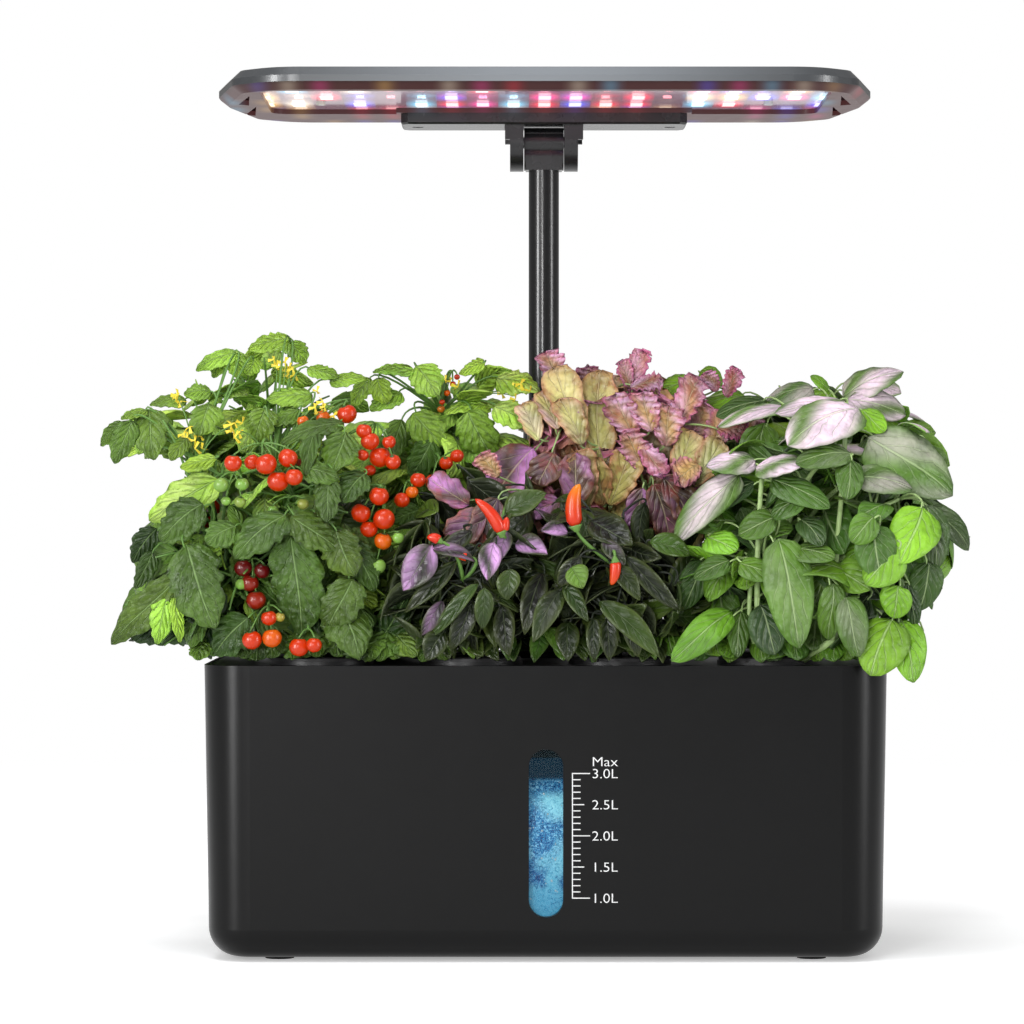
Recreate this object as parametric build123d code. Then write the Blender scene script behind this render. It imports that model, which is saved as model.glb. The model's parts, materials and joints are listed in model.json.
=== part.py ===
from build123d import *
import os
from math import atan2, cos, degrees, radians, sin, tan

# Countertop hydroponic garden, in millimetres. +Z is up, -Y is the front with the level window, and the
# origin is on the table below the middle of the tank.

# ---------------------------------------------------------------- driving dimensions
# Tank
TANK_WIDTH = 282.0          # outside, at the rim
TANK_DEPTH = 156.0          # outside, at the rim
RIM_HEIGHT = 121.5
TANK_CORNER_R = 20.0
TANK_EDGE_R = 12.3          # rounding all round the bottom
TANK_WALL = 2.8
TANK_FLOOR = 3.0
TANK_DRAFT = 0.95           # degrees that each wall leans inwards towards the bottom
RIM_LIP = 1.2               # wall left outside the ledge that carries the deck
FOOT_DROP = 1.2             # how far the feet stand below the tank
FOOT_RECESS = 1.0
FOOT_R = 6.0
FOOT_END_INSET = 31.0       # of a foot's middle from the tank's end
FOOT_SIDE_INSET = 22.0      # of a foot's middle from the tank's front or back
PAST = 1.0                  # how far a cut runs on past the face it opens
PRESS_FIT = 0.02            # radial gap of a pin or screw in a bore that holds it

# Level window
WINDOW_WIDTH = 14.0
WINDOW_HEIGHT = 68.7
WINDOW_LOW_END = 18.7       # height of the slot's lower end above the table
WINDOW_SET_BACK = 0.3
WINDOW_FLANGE = 3.2         # how far the flange overlaps the wall round the slot
WINDOW_FLANGE_THICKNESS = 1.6
GASKET_THICKNESS = 0.8

# Grow deck and pods
DECK_THICKNESS = 2.6
DECK_DROP = 0.3             # deck surface below the rim
DECK_GAP = 0.4              # between the deck's edge and the rim
SKIRT_HEIGHT = 7.0
SKIRT_WALL = 1.6
SKIRT_GAP = 0.8
POD_PITCH = 62.0
REAR_POD_SPREAD = 5.0       # the rear pods stand this much further from the mast
FRONT_POD_INSET = 34.0      # of the front row from the tank's front
REAR_POD_INSET = 60.0       # of the rear row from the tank's back
POT_NECK_R = 17.9
POT_FOOT_R = 12.6
POT_DEPTH = 50.0
POT_WALL = 1.2
POT_FLANGE_R = 20.8
POT_FLANGE_THICKNESS = 1.6
POT_SLOTS = 8
POT_SLOT_WIDTH = 3.2
POT_SLOT_LENGTH = 30.0
POT_SLOT_LIFT = 4.8         # of a slot above the pot's foot
POT_RIM_CHAMFER = 0.5
POT_FLOOR_RING = 0.55       # of the foot's radius, where the floor is pierced
POD_COLLAR_HEIGHT = 1.6
POD_COLLAR_R = 21.4
POD_GAP = 0.5               # between a pot's neck and its hole
SPONGE_HEIGHT = 28.0
SPONGE_GAP = 0.3
SPONGE_DROP = 1.0           # below the pot's top
STEM_R = 2.2
STEM_GAP = 0.35
STEM_SET_IN = 15.0          # depth of the stem in its sponge

# Leaves
LEAF_REACH_X = 47.0         # beyond the tank's ends
LEAF_REACH_Y = 14.0         # beyond its front and back
LEAF_GAP = 1.0              # between two plants
LEAF_LOW = 3.0              # lowest leaves above the pots
LEAF_DROOP = 7.5            # lowest leaves beyond the tank's ends, below the pots' top
LEAF_DROOP_GAP = 4.0
LEAF_ROW_SETBACK = 5.0
LEAF_MAST_GAP = 6.0
LEAF_CONTROL_GAP = 6.0
LEAF_PEPPER_SETBACK = 2.0   # of the peppers behind the other plants' front
LEAF_LOBE_SIDES = 9
LEAF_LOBE_LEVELS = (-52, -14, 24, 58)   # degrees above the lobe's middle
LEAF_LOBE_TURN = 23.0

# Mast
MAST_INSET = 44.5           # from the tank's back
UPPER_TUBE_R = 6.6
UPPER_TUBE_WALL = 1.2
LOWER_TUBE_R = 9.0
LOWER_TUBE_WALL = 1.5
LOWER_TUBE_STANDS = 103.5   # above the rim
BUSH_LENGTH = 16.0
BUSH_FLANGE = 3.0
SLIDE_FIT = 0.05            # radial running clearance of the upper tube in its bush
GUIDE_LENGTH = 6.0
GUIDE_GAP = 0.2
SPIGOT_LENGTH = 8.0
SOCKET_NECK_R = 11.0
SOCKET_FLANGE_R = 16.0
SOCKET_FLANGE_THICKNESS = 3.0
SOCKET_COLLAR_R = 12.5
SOCKET_COLLAR_HEIGHT = 12.0
SOCKET_REACH = 6.6          # how far the socket goes on below the deck
SOCKET_FLOOR = 2.5
SOCKET_CHAMFER = 1.5
NUT_R = 15.0
NUT_HEIGHT = 5.0
NUT_NOTCHES = 6
NUT_NOTCH_R = 2.0
NUT_NOTCH_OUT = 0.8         # of a notch's middle from the nut's edge
SEAT_FIT = 0.05             # radial clearance of pieces that are set into each other

# Hinge of the lamp
PIN_HEIGHT = 345.6          # with the mast drawn out
PIN_R = 2.5
PIN_FIT = 0.05
PIN_HEAD_R = 4.0
PIN_HEAD_THICKNESS = 2.4
KNUCKLE_R = 6.5
KNUCKLE_LOBE_R = 5.9
KNUCKLE_LOBE_DROP = 6.3     # the lower lobe's axis below the pin
KNUCKLE_GROOVE = 0.5
KNUCKLE_GROOVE_ANGLES = (35, 145)
NECK_HALF_WIDTH = 7.9
TUBE_TOP_DROP = 12.3        # top of the upper tube below the pin
PIN_DROP = 6.8              # of the pin below the driver box
YOKE_GAP = 17.8             # between the two ears
YOKE_CLEARANCE = 0.3        # each side of the knuckle
EAR_THICKNESS = 5.85
EAR_R = 12.6
EAR_RIB_WIDTH = 2.2
EAR_RIB_DEPTH = 2.5
EAR_RIB_HEIGHT = 6.4
YOKE_PLATE_OVERHANG = 6.0
YOKE_SCREW_OUT = 2.8        # from the ear's outside
YOKE_SCREW_FRONT = 2.0
YOKE_SCREW_BACK = 7.0

# Lamp head
COVER_HEIGHT = 6.3          # above the crease, the lamp's widest line, where cover and bezel meet
BEZEL_HEIGHT = 3.1          # below the crease
LAMP_REACH = 39.5           # of the lamp's middle in front of the mast
LAMP_HALF_LENGTH = 138.5
LAMP_HALF_DEPTH = 72.0
LAMP_TIP_HALF = 6.0         # half the short edge at each tip
LAMP_SHOULDER_IN = 9.5      # of the shoulder from the tip
LAMP_SHOULDER_BACK = 16.0   # of the shoulder from the long edge
LAMP_CORNER_IN = 26.5
LAMP_TIP_R = 10.0
LAMP_SHOULDER_R = 14.0
LAMP_CORNER_R = 28.0
COVER_WALL = 1.8
COVER_BEVEL = 3.6
COVER_BEVEL_INSIDE = 0.8    # most of the inside height that the inner bevel takes
BEZEL_SLOPE = 4.0           # how far the bezel draws in below the crease
BEZEL_THICKNESS = 2.1
OPENING_END_INSET = 20.5    # of the light opening from the lamp's tip
OPENING_FRONT_INSET = 10.0
OPENING_BACK_INSET = 41.0
OPENING_CORNER_R = 8.0
OPENING_TAB_MARGIN = 2.0    # beside the driver box
VENT_WIDTH = 7.0
VENT_LENGTH = 38.0
VENT_WALL = 5.0
VENT_TIP = 0.4              # of the vent's width, where its tip lies
LENS_THICKNESS = 1.2
LENS_OVERLAP = 3.0
BOARD_END_INSET = 26.5
BOARD_THICKNESS = 1.6
BOARD_CORNER_R = 4.0
LED_SIZE = 3.4
LED_HEIGHT = 0.9
LED_COLUMNS = 17
LED_ROWS = 3
LED_PITCH = 13.2
LED_ROW_PITCH = 28.0
CLIP_INSET = 43.2           # of a clip from the lamp's tip
CLIP_FROM_MIDDLE = 13.5     # of a clip behind the middle of the light opening
CLIP_R = 2.0
CLIP_SHANK_R = 1.2
CLIP_HEAD = 1.6

# Driver box below the back of the lamp
DRIVER_HALF_LENGTH = 62.0
DRIVER_DEPTH = 30.0
DRIVER_HEIGHT = 4.9
DRIVER_WALL = 1.6
DRIVER_CORNER = 3.0
DRIVER_CORNER_INSIDE = 0.5
DRIVER_EDGE = 0.8
DRIVER_GAP = 0.15           # round each ear
DRIVER_SCREW_INSET = 7.0
SCREW_R = 1.5
SCREW_HEAD_R = 2.3
SCREW_HEAD_THICKNESS = 1.1
SCREW_BOSS_R = 3.8
SCREW_BOSS_RISE = 3.0       # above the bezel
SCREW_BORE_RISE = 1.5
SCREW_END_RISE = 1.3
SCREW_HOLE_GAP = 0.2
SCREW_HEAD_GAP = 0.1
SCREW_HEAD_SUNK = 0.3
YOKE_SCREW_LIFT = 0.4       # of its end above the driver box's floor
DRIVER_BOARD_LENGTH = 24.0
DRIVER_BOARD_X = 36.0
DRIVER_BOARD_STAND = 0.8    # above the box's floor
DRIVER_BOARD_HALF_DEPTH = 10.0
DRIVER_BOARD_THICKNESS = 1.0
DRIVER_REST_HALF = 0.8
DRIVER_REST_HALF_DEPTH = 8.0
DRIVER_CHIP_WIDTHS = (4.0, 6.0, 4.0)
DRIVER_CHIP_PITCH = 7.0
DRIVER_CHIP_START = 3.0
DRIVER_CHIP_HEIGHT = 1.2
DRIVER_CHIP_FRONT = 5.0
DRIVER_CHIP_BACK = 3.0

# Control box
CONTROL_END_INSET = 61.0    # of the box's middle from the tank's left end
CONTROL_INSET = 22.0        # of the box's middle from the tank's back
CONTROL_LENGTH = 60.0
CONTROL_DEPTH = 30.0
CONTROL_HEIGHT = 13.0
CONTROL_WALL = 2.0
CONTROL_EDGE_R = 4.0
CONTROL_BOARD_HEIGHT = 3.4  # of the board's underside above the deck
CONTROL_BOARD_THICKNESS = 1.4
CONTROL_POST_X = 23.9
CONTROL_POST_Y = 10.5
CONTROL_POST_R = 1.8
CONTROL_TOP_EDGE_R = 1.5
CONTROL_BORE_R = 0.9
CONTROL_BORE_RISE = 3.2
CONTROL_SCREW_R = 0.85
CONTROL_SCREW_RISE = 3.0
CONTROL_SCREW_HEAD_R = 1.7
CONTROL_SCREW_HEAD = 1.0
CONTROL_HOLE_R = 1.0        # of the board, for a screw
CONTROL_BOARD_GAP_X = 0.1   # of the board from a peg
CONTROL_BOARD_GAP_Y = 0.5   # of the board from a wall
PEG_R = 1.6
PEG_GAP = 0.2
BUTTON_R = 4.9
BUTTON_PITCH = 16.0
BUTTON_Y = -6.0             # from the middle of the box
BUTTON_STANDS = 1.6
BUTTON_TRAVEL = 1.2
BUTTON_FLANGE = 1.3
BUTTON_FLANGE_THICKNESS = 1.0
BUTTON_GAP = 0.3
BUTTON_STEM_R = 1.5
BUTTON_STEM = 1.8
BUTTON_EDGE_R = 0.8
SWITCH_GAP = 0.2            # of a pressed button's stem above its switch
SWITCH_SIZE = 6.0
LIGHT_R = 1.4
LIGHT_X = -18.0
LIGHT_Y = 7.0
LIGHT_STANDS = 0.2
LIGHT_FOOT = 0.8
LIGHT_FOOT_HEIGHT = 2.0
JACK_WIDTH = 9.0
JACK_LENGTH = 11.0
JACK_HEIGHT = 5.9
JACK_NOSE_R = 2.85
JACK_BORE_R = 2.4
JACK_PIN_R = 0.65
JACK_BORE_DEPTH = 9.0
JACK_PIN_DROP = 1.0         # of its pin's end behind the box's face

# Filling port and its flap
PORT_END_INSET = 61.0       # of the port's middle from the tank's right end
PORT_INSET = 22.0           # of the port's middle from the tank's back
PORT_LENGTH = 42.0
PORT_DEPTH = 22.0
PORT_CORNER_R = 3.0
LID_OVERLAP = 3.0
LID_THICKNESS = 2.0
LID_GAP = 0.3
LID_PIN_LIFT = 0.2
LID_TAB = 3.0
LID_TAB_HALF = 7.0
LID_TAB_THICKNESS = 1.2
LID_HINGE_SET_BACK = 2.6
LID_BARREL_R = 2.0
LID_PIN_R = 1.0
LID_KNUCKLE_HALF = 10.7
LID_LUG_WIDTH = 6.0
LID_LUG_GAP = 0.3

# Pump
PUMP_END_INSET = 61.0       # of the pump's middle from the tank's left end
PUMP_INSET = 38.0           # of the pump's front from the tank's back
PUMP_BASE = 8.0
PUMP_WIDTH = 36.0
PUMP_DEPTH = 28.0
PUMP_HEIGHT = 32.0
PUMP_COVER_THICKNESS = 3.0
PUMP_FILTER_THICKNESS = 6.0
PUMP_FILTER_INSET = 2.0
PUMP_EDGE_R = 3.0
PUMP_SLOT_HALF = 8.0
PUMP_SLOT_HALF_HEIGHT = 1.5
PUMP_SLOT_FROM_AXIS = 5.5
CHAMBER_R = 11.0
CHAMBER_DEPTH = 12.0
WELL_R = 6.5
WELL_DEPTH = 11.5
IMPELLER_R = 9.5
MAGNET_R = 6.0
IMPELLER_BLADES = 6
IMPELLER_GAP = 0.5
BLADE_HALF = 0.6
BLADE_STEP = 1.0
HUB_R = 3.0
SHAFT_R = 1.0
SHAFT_FIT = 0.05
SHAFT_SEAT = 2.5
SHAFT_FRONT_SEAT = 1.5
HOSE_R = 4.0
HOSE_BORE_R = 2.5
BARB_LENGTH = 8.0
OUTLET_X = 12.0             # from the middle of the pump
HANGER_X = -6.0
HANGER_WIDTH = 14.0
HANGER_THICKNESS = 4.0
HANGER_PAD = 2.0

# ---------------------------------------------------------------- places that follow from them
FOOT_X = TANK_WIDTH / 2 - FOOT_END_INSET
FOOT_Y = TANK_DEPTH / 2 - FOOT_SIDE_INSET
FRONT_PODS_X = tuple(step * POD_PITCH for step in (-1.5, -0.5, 0.5, 1.5))
REAR_PODS_X = tuple(x + (REAR_POD_SPREAD if x > 0 else -REAR_POD_SPREAD) for x in FRONT_PODS_X)
FRONT_PODS_Y = FRONT_POD_INSET - TANK_DEPTH / 2
REAR_PODS_Y = TANK_DEPTH / 2 - REAR_POD_INSET
MAST_Y = TANK_DEPTH / 2 - MAST_INSET
CONTROL_X = CONTROL_END_INSET - TANK_WIDTH / 2
CONTROL_Y = TANK_DEPTH / 2 - CONTROL_INSET
PORT_X = TANK_WIDTH / 2 - PORT_END_INSET
PORT_Y = TANK_DEPTH / 2 - PORT_INSET
PUMP_X = PUMP_END_INSET - TANK_WIDTH / 2
PUMP_FRONT_Y = TANK_DEPTH / 2 - PUMP_INSET
DRIVER_BOTTOM = PIN_HEIGHT + PIN_DROP
LAMP_BOTTOM = DRIVER_BOTTOM + DRIVER_HEIGHT
LAMP_CREASE = LAMP_BOTTOM + BEZEL_HEIGHT
LAMP_TOP = LAMP_CREASE + COVER_HEIGHT
LAMP_CENTRE_Y = MAST_Y - LAMP_REACH
OPENING_HALF_LENGTH = LAMP_HALF_LENGTH - OPENING_END_INSET
OPENING_FRONT_Y = LAMP_CENTRE_Y - LAMP_HALF_DEPTH + OPENING_FRONT_INSET
OPENING_BACK_Y = LAMP_CENTRE_Y + LAMP_HALF_DEPTH - OPENING_BACK_INSET
OPENING_MIDDLE_Y = (OPENING_FRONT_Y + OPENING_BACK_Y) / 2
OPENING_DEPTH = OPENING_BACK_Y - OPENING_FRONT_Y
BOARD_HALF_LENGTH = LAMP_HALF_LENGTH - BOARD_END_INSET
CLIP_X = LAMP_HALF_LENGTH - CLIP_INSET
CLIP_Y = OPENING_MIDDLE_Y + CLIP_FROM_MIDDLE
DRIVER_SCREW_X = DRIVER_HALF_LENGTH - DRIVER_SCREW_INSET
LOWER_TUBE_TOP = RIM_HEIGHT + LOWER_TUBE_STANDS
DECK_TOP = RIM_HEIGHT - DECK_DROP
DECK_BOTTOM = DECK_TOP - DECK_THICKNESS
FLOOR_TOP = FOOT_DROP + TANK_FLOOR
DRAFT_TAN = tan(radians(TANK_DRAFT))
POT_SEAT = DECK_TOP + POD_COLLAR_HEIGHT
POT_TOP = POT_SEAT + POT_FLANGE_THICKNESS
POT_BOTTOM = POT_SEAT - POT_DEPTH
SPONGE_TOP = POT_TOP - SPONGE_DROP
STEM_BOTTOM = SPONGE_TOP - STEM_SET_IN
TUBE_TOP = PIN_HEIGHT - TUBE_TOP_DROP
TUBE_BOTTOM = LOWER_TUBE_TOP - BUSH_LENGTH - YOKE_CLEARANCE
SOCKET_BOTTOM = DECK_BOTTOM - SOCKET_REACH
LOWER_TUBE_BOTTOM = SOCKET_BOTTOM + SOCKET_FLOOR
DRIVER_FLOOR = DRIVER_BOTTOM + DRIVER_WALL
SCREW_SEAT = DRIVER_BOTTOM + SCREW_HEAD_THICKNESS + SCREW_HEAD_SUNK
LENS_BOTTOM = LAMP_BOTTOM + BEZEL_THICKNESS
COVER_INSIDE = LAMP_TOP - COVER_WALL
BOARD_BOTTOM = COVER_INSIDE - BOARD_THICKNESS
KNUCKLE_HALF = YOKE_GAP / 2 - YOKE_CLEARANCE
EAR_IN = YOKE_GAP / 2
EAR_OUT = EAR_IN + EAR_THICKNESS
CONTROL_TOP = DECK_TOP + CONTROL_HEIGHT
CONTROL_CEILING = CONTROL_TOP - CONTROL_WALL
CONTROL_BOARD_TOP = DECK_TOP + CONTROL_BOARD_HEIGHT + CONTROL_BOARD_THICKNESS
LID_BACK_Y = PORT_Y + PORT_DEPTH / 2 + LID_OVERLAP
LID_PIN_Y = LID_BACK_Y + LID_HINGE_SET_BACK
LID_PIN_Z = DECK_TOP + LID_BARREL_R + LID_PIN_LIFT
PUMP_TOP = PUMP_BASE + PUMP_HEIGHT
PUMP_AXIS_Z = PUMP_BASE + PUMP_HEIGHT / 2

# ---------------------------------------------------------------- foliage
# Each plant grows from one pod as a stem and a cloud of leaves. Its cloud is a few round lobes
# (x and y from the pod, z above the pot, radius), kept inside the plant's own cells: boxes given as
# (left, right), (front, back), (low, high), the heights above the pot.
LEFT = -TANK_WIDTH / 2 - LEAF_REACH_X
RIGHT = -LEFT
FRONT = -TANK_DEPTH / 2 - LEAF_REACH_Y
BACK = -FRONT
PEPPER_FRONT = FRONT + LEAF_PEPPER_SETBACK
HALF_GAP = LEAF_GAP / 2
PODS_12 = (FRONT_PODS_X[0] + FRONT_PODS_X[1]) / 2
PODS_34 = -PODS_12
PODS_56 = (REAR_PODS_X[0] + REAR_PODS_X[1]) / 2
PODS_78 = -PODS_56
ROWS_OUTER = REAR_PODS_Y - POD_COLLAR_R - LEAF_ROW_SETBACK
ROWS_INNER = FRONT_PODS_Y + POD_COLLAR_R - LEAF_ROW_SETBACK
MAST_ROOM = SOCKET_FLANGE_R + LEAF_MAST_GAP
CONTROL_ROOM = CONTROL_Y - CONTROL_DEPTH / 2 - LEAF_GAP
CONTROL_END = CONTROL_X - CONTROL_LENGTH / 2 - LEAF_CONTROL_GAP
PORT_END = PORT_X + PORT_LENGTH / 2 + LID_OVERLAP + LEAF_CONTROL_GAP
OVER_END = TANK_WIDTH / 2 + LEAF_DROOP_GAP

PLANTS = {
    "tomato_front_left": {
        "pod": (FRONT_PODS_X[0], FRONT_PODS_Y),
        "cells": [((LEFT, PODS_12 - HALF_GAP), (FRONT, ROWS_OUTER - HALF_GAP), (LEAF_LOW, 102)),
                  ((LEFT, -OVER_END), (FRONT, ROWS_OUTER - HALF_GAP), (-LEAF_DROOP, 102))],
        "lobes": [(0, -2, 34, 36), (-38, -12, 34, 39), (-62, -6, 14, 28), (-7, -14, 62, 34),
                  (-44, 2, 74, 28), (7, 0, 26, 30), (-70, 4, 87, 28)],
    },
    "tomato_rear_left": {
        "pod": (REAR_PODS_X[0], REAR_PODS_Y),
        "cells": [((LEFT, PODS_56 - HALF_GAP), (ROWS_OUTER + HALF_GAP, CONTROL_ROOM), (LEAF_LOW, 135)),
                  ((LEFT, CONTROL_END), (ROWS_OUTER + HALF_GAP, BACK), (LEAF_LOW, 102))],
        "lobes": [(0, 0, 66, 36), (-17, -2, 98, 37), (-44, 6, 76, 33), (0, -2, 34, 30),
                  (-42, 44, 52, 36), (-64, 12, 90, 24), (-40, 28, 34, 32)],
    },
    "tomato_rear_middle": {
        "pod": (REAR_PODS_X[1], REAR_PODS_Y),
        "cells": [((PODS_56 + HALF_GAP, -MAST_ROOM), (ROWS_INNER + HALF_GAP, CONTROL_ROOM), (LEAF_LOW, 123))],
        "lobes": [(-8, -14, 44, 32), (-10, -10, 76, 32), (-8, -16, 96, 26), (-4, -4, 22, 20)],
    },
    "pepper_left": {
        "pod": (FRONT_PODS_X[1], FRONT_PODS_Y),
        "cells": [((PODS_12 + HALF_GAP, -HALF_GAP), (PEPPER_FRONT, ROWS_INNER - HALF_GAP), (LEAF_LOW, 81))],
        "lobes": [(0, -16, 34, 32), (-3, -12, 56, 24), (13, -10, 62, 18), (-19, -16, 26, 22)],
    },
    "pepper_right": {
        "pod": (FRONT_PODS_X[2], FRONT_PODS_Y),
        "cells": [((HALF_GAP, PODS_34 - HALF_GAP), (PEPPER_FRONT, ROWS_INNER - HALF_GAP), (LEAF_LOW, 81))],
        "lobes": [(0, -16, 32, 32), (-3, -11, 54, 25), (17, -14, 28, 24), (-15, -9, 59, 19)],
    },
    "red_lettuce": {
        "pod": (REAR_PODS_X[2], REAR_PODS_Y),
        "cells": [((MAST_ROOM, PODS_78 - HALF_GAP), (ROWS_INNER + HALF_GAP, CONTROL_ROOM), (LEAF_LOW, 130)),
                  ((-MAST_ROOM + LEAF_GAP, PODS_78 - HALF_GAP),
                   (ROWS_INNER + HALF_GAP, MAST_Y - MAST_ROOM), (LEAF_LOW, 130))],
        "lobes": [(0, -7, 54, 31), (4, -16, 102, 28), (-27, -27, 92, 25), (7, -1, 82, 28),
                  (-35, -29, 63, 22), (13, -25, 67, 23)],
    },
    "basil_front_right": {
        "pod": (FRONT_PODS_X[3], FRONT_PODS_Y),
        "cells": [((PODS_34 + HALF_GAP, RIGHT), (FRONT, ROWS_OUTER - HALF_GAP), (LEAF_LOW, 108)),
                  ((OVER_END, RIGHT), (FRONT, ROWS_OUTER - HALF_GAP), (-LEAF_DROOP, 108))],
        "lobes": [(0, -4, 38, 36), (37, -12, 42, 41), (44, -8, 12, 24), (15, -10, 72, 34),
                  (50, 0, 72, 29), (-7, -2, 22, 24), (62, 4, 50, 23)],
    },
    "basil_rear_right": {
        "pod": (REAR_PODS_X[3], REAR_PODS_Y),
        "cells": [((PODS_78 + HALF_GAP, RIGHT), (ROWS_OUTER + HALF_GAP, CONTROL_ROOM), (LEAF_LOW, 123)),
                  ((PORT_END, RIGHT), (ROWS_OUTER + HALF_GAP, BACK), (LEAF_LOW, 102))],
        "lobes": [(0, 0, 60, 36), (-4, -4, 84, 29), (34, 4, 84, 39), (0, -1, 30, 28),
                  (46, 44, 54, 37), (63, 10, 52, 30), (42, 26, 34, 31)],
    },
}


# ---------------------------------------------------------------- helpers
def disc(radius, low, high, x=0.0, y=0.0):
    """Upright cylinder between two heights."""
    return Pos(x, y, low) * Cylinder(radius, high - low, align=(Align.CENTER, Align.CENTER, Align.MIN))


def ring(outer, inner, low, high, x=0.0, y=0.0):
    """Upright tube between two heights."""
    return disc(outer, low, high, x, y) - disc(inner, low - PAST, high + PAST, x, y)


def cone(low_r, high_r, low, high, x=0.0, y=0.0):
    """Upright frustum between two heights."""
    return Pos(x, y, low) * Cone(low_r, high_r, high - low, align=(Align.CENTER, Align.CENTER, Align.MIN))


def block(low, high):
    """Box between two corners."""
    size = [b - a for a, b in zip(low, high)]
    middle = [(a + b) / 2 for a, b in zip(low, high)]
    return Pos(*middle) * Box(*size)


def rod_x(radius, low, high, y, z):
    """Cylinder along X."""
    return Pos(low, y, z) * Rot(0, 90, 0) * Cylinder(
        radius, high - low, align=(Align.CENTER, Align.CENTER, Align.MIN))


def rod_y(radius, low, high, x, z):
    """Cylinder along Y."""
    return Pos(x, low, z) * Rot(-90, 0, 0) * Cylinder(
        radius, high - low, align=(Align.CENTER, Align.CENTER, Align.MIN))


def upright(sketch, low, high):
    """A flat outline on XY, drawn up between two heights."""
    return extrude(Plane.XY.offset(low) * sketch, amount=high - low)


def save(node, shape, colour):
    """Write one node's STEP file and keep it for the overview."""
    shape.label = node
    shape.color = Color(*colour)
    export_step(shape, "parts/" + node + ".step")


BLACK = (0.05, 0.05, 0.055)
DARK = (0.16, 0.16, 0.17)
STEEL = (0.7, 0.7, 0.72)
CLEAR = (0.75, 0.85, 0.9)
GREEN = (0.2, 0.5, 0.15)


# ---------------------------------------------------------------- tank
def tank_block(inset, low, edge_r):
    """The tank's solid form, drawn in by inset, with its rounded underside at the height low."""
    outline = RectangleRounded(TANK_WIDTH - 2 * inset, TANK_DEPTH - 2 * inset, TANK_CORNER_R - inset)
    form = extrude(Plane.XY.offset(RIM_HEIGHT) * outline, amount=RIM_HEIGHT - low, dir=(0, 0, -1),
                   taper=TANK_DRAFT)
    return fillet(form.faces().sort_by(Axis.Z)[0].edges(), edge_r)


def wall_plane():
    """Plane on the outside of the front wall at the middle of the slot: x across, y up the wall."""
    height = WINDOW_LOW_END + WINDOW_HEIGHT / 2
    y = -TANK_DEPTH / 2 + (RIM_HEIGHT - height) * DRAFT_TAN
    lean = radians(TANK_DRAFT)
    return Plane(origin=(0, y, height), x_dir=(1, 0, 0), z_dir=(0, -cos(lean), -sin(lean)))


def slot_plate(margin, inner, outer):
    """Slot-shaped plate on the front wall, margin larger than the slot, between two depths inside it."""
    width = WINDOW_WIDTH + 2 * margin
    outline = SlotOverall(WINDOW_HEIGHT + 2 * margin, width, rotation=90)
    plane = wall_plane()
    return extrude(plane.offset(-inner) * outline, amount=inner - outer)


def feet_places():
    return [(sx * FOOT_X, sy * FOOT_Y) for sx in (-1, 1) for sy in (-1, 1)]


def make_tank():
    shell = tank_block(0, FOOT_DROP, TANK_EDGE_R) - tank_block(TANK_WALL, FLOOR_TOP, TANK_EDGE_R - TANK_WALL)
    ledge = RectangleRounded(TANK_WIDTH - 2 * RIM_LIP, TANK_DEPTH - 2 * RIM_LIP, TANK_CORNER_R - RIM_LIP)
    shell -= upright(ledge, DECK_BOTTOM, RIM_HEIGHT + PAST)
    shell -= slot_plate(0, TANK_WALL + PAST, -PAST)
    for x, y in feet_places():
        shell -= disc(FOOT_R + SEAT_FIT, 0, FOOT_DROP + FOOT_RECESS, x, y)
    return shell


def make_feet():
    return Compound([disc(FOOT_R, 0, FOOT_DROP + FOOT_RECESS, x, y).solid() for x, y in feet_places()])


def make_window_and_gasket():
    wall = TANK_WALL * cos(radians(TANK_DRAFT))
    behind_gasket = wall + GASKET_THICKNESS
    window = slot_plate(-SEAT_FIT, behind_gasket, WINDOW_SET_BACK)
    window += slot_plate(WINDOW_FLANGE, behind_gasket + WINDOW_FLANGE_THICKNESS, behind_gasket)
    gasket = slot_plate(WINDOW_FLANGE, behind_gasket, wall) - slot_plate(0, behind_gasket + PAST, wall - PAST)
    return window, gasket


# ---------------------------------------------------------------- grow deck and pods
def pods():
    front = [(x, FRONT_PODS_Y) for x in FRONT_PODS_X]
    return front + [(x, REAR_PODS_Y) for x in REAR_PODS_X]


def control_pegs():
    reach = CONTROL_LENGTH / 2 - CONTROL_WALL + PEG_R / 4
    return [(CONTROL_X + side * reach, CONTROL_Y) for side in (-1, 1)]


def hose_place():
    return PUMP_X + OUTLET_X, PUMP_FRONT_Y + PUMP_DEPTH / 2


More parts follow.
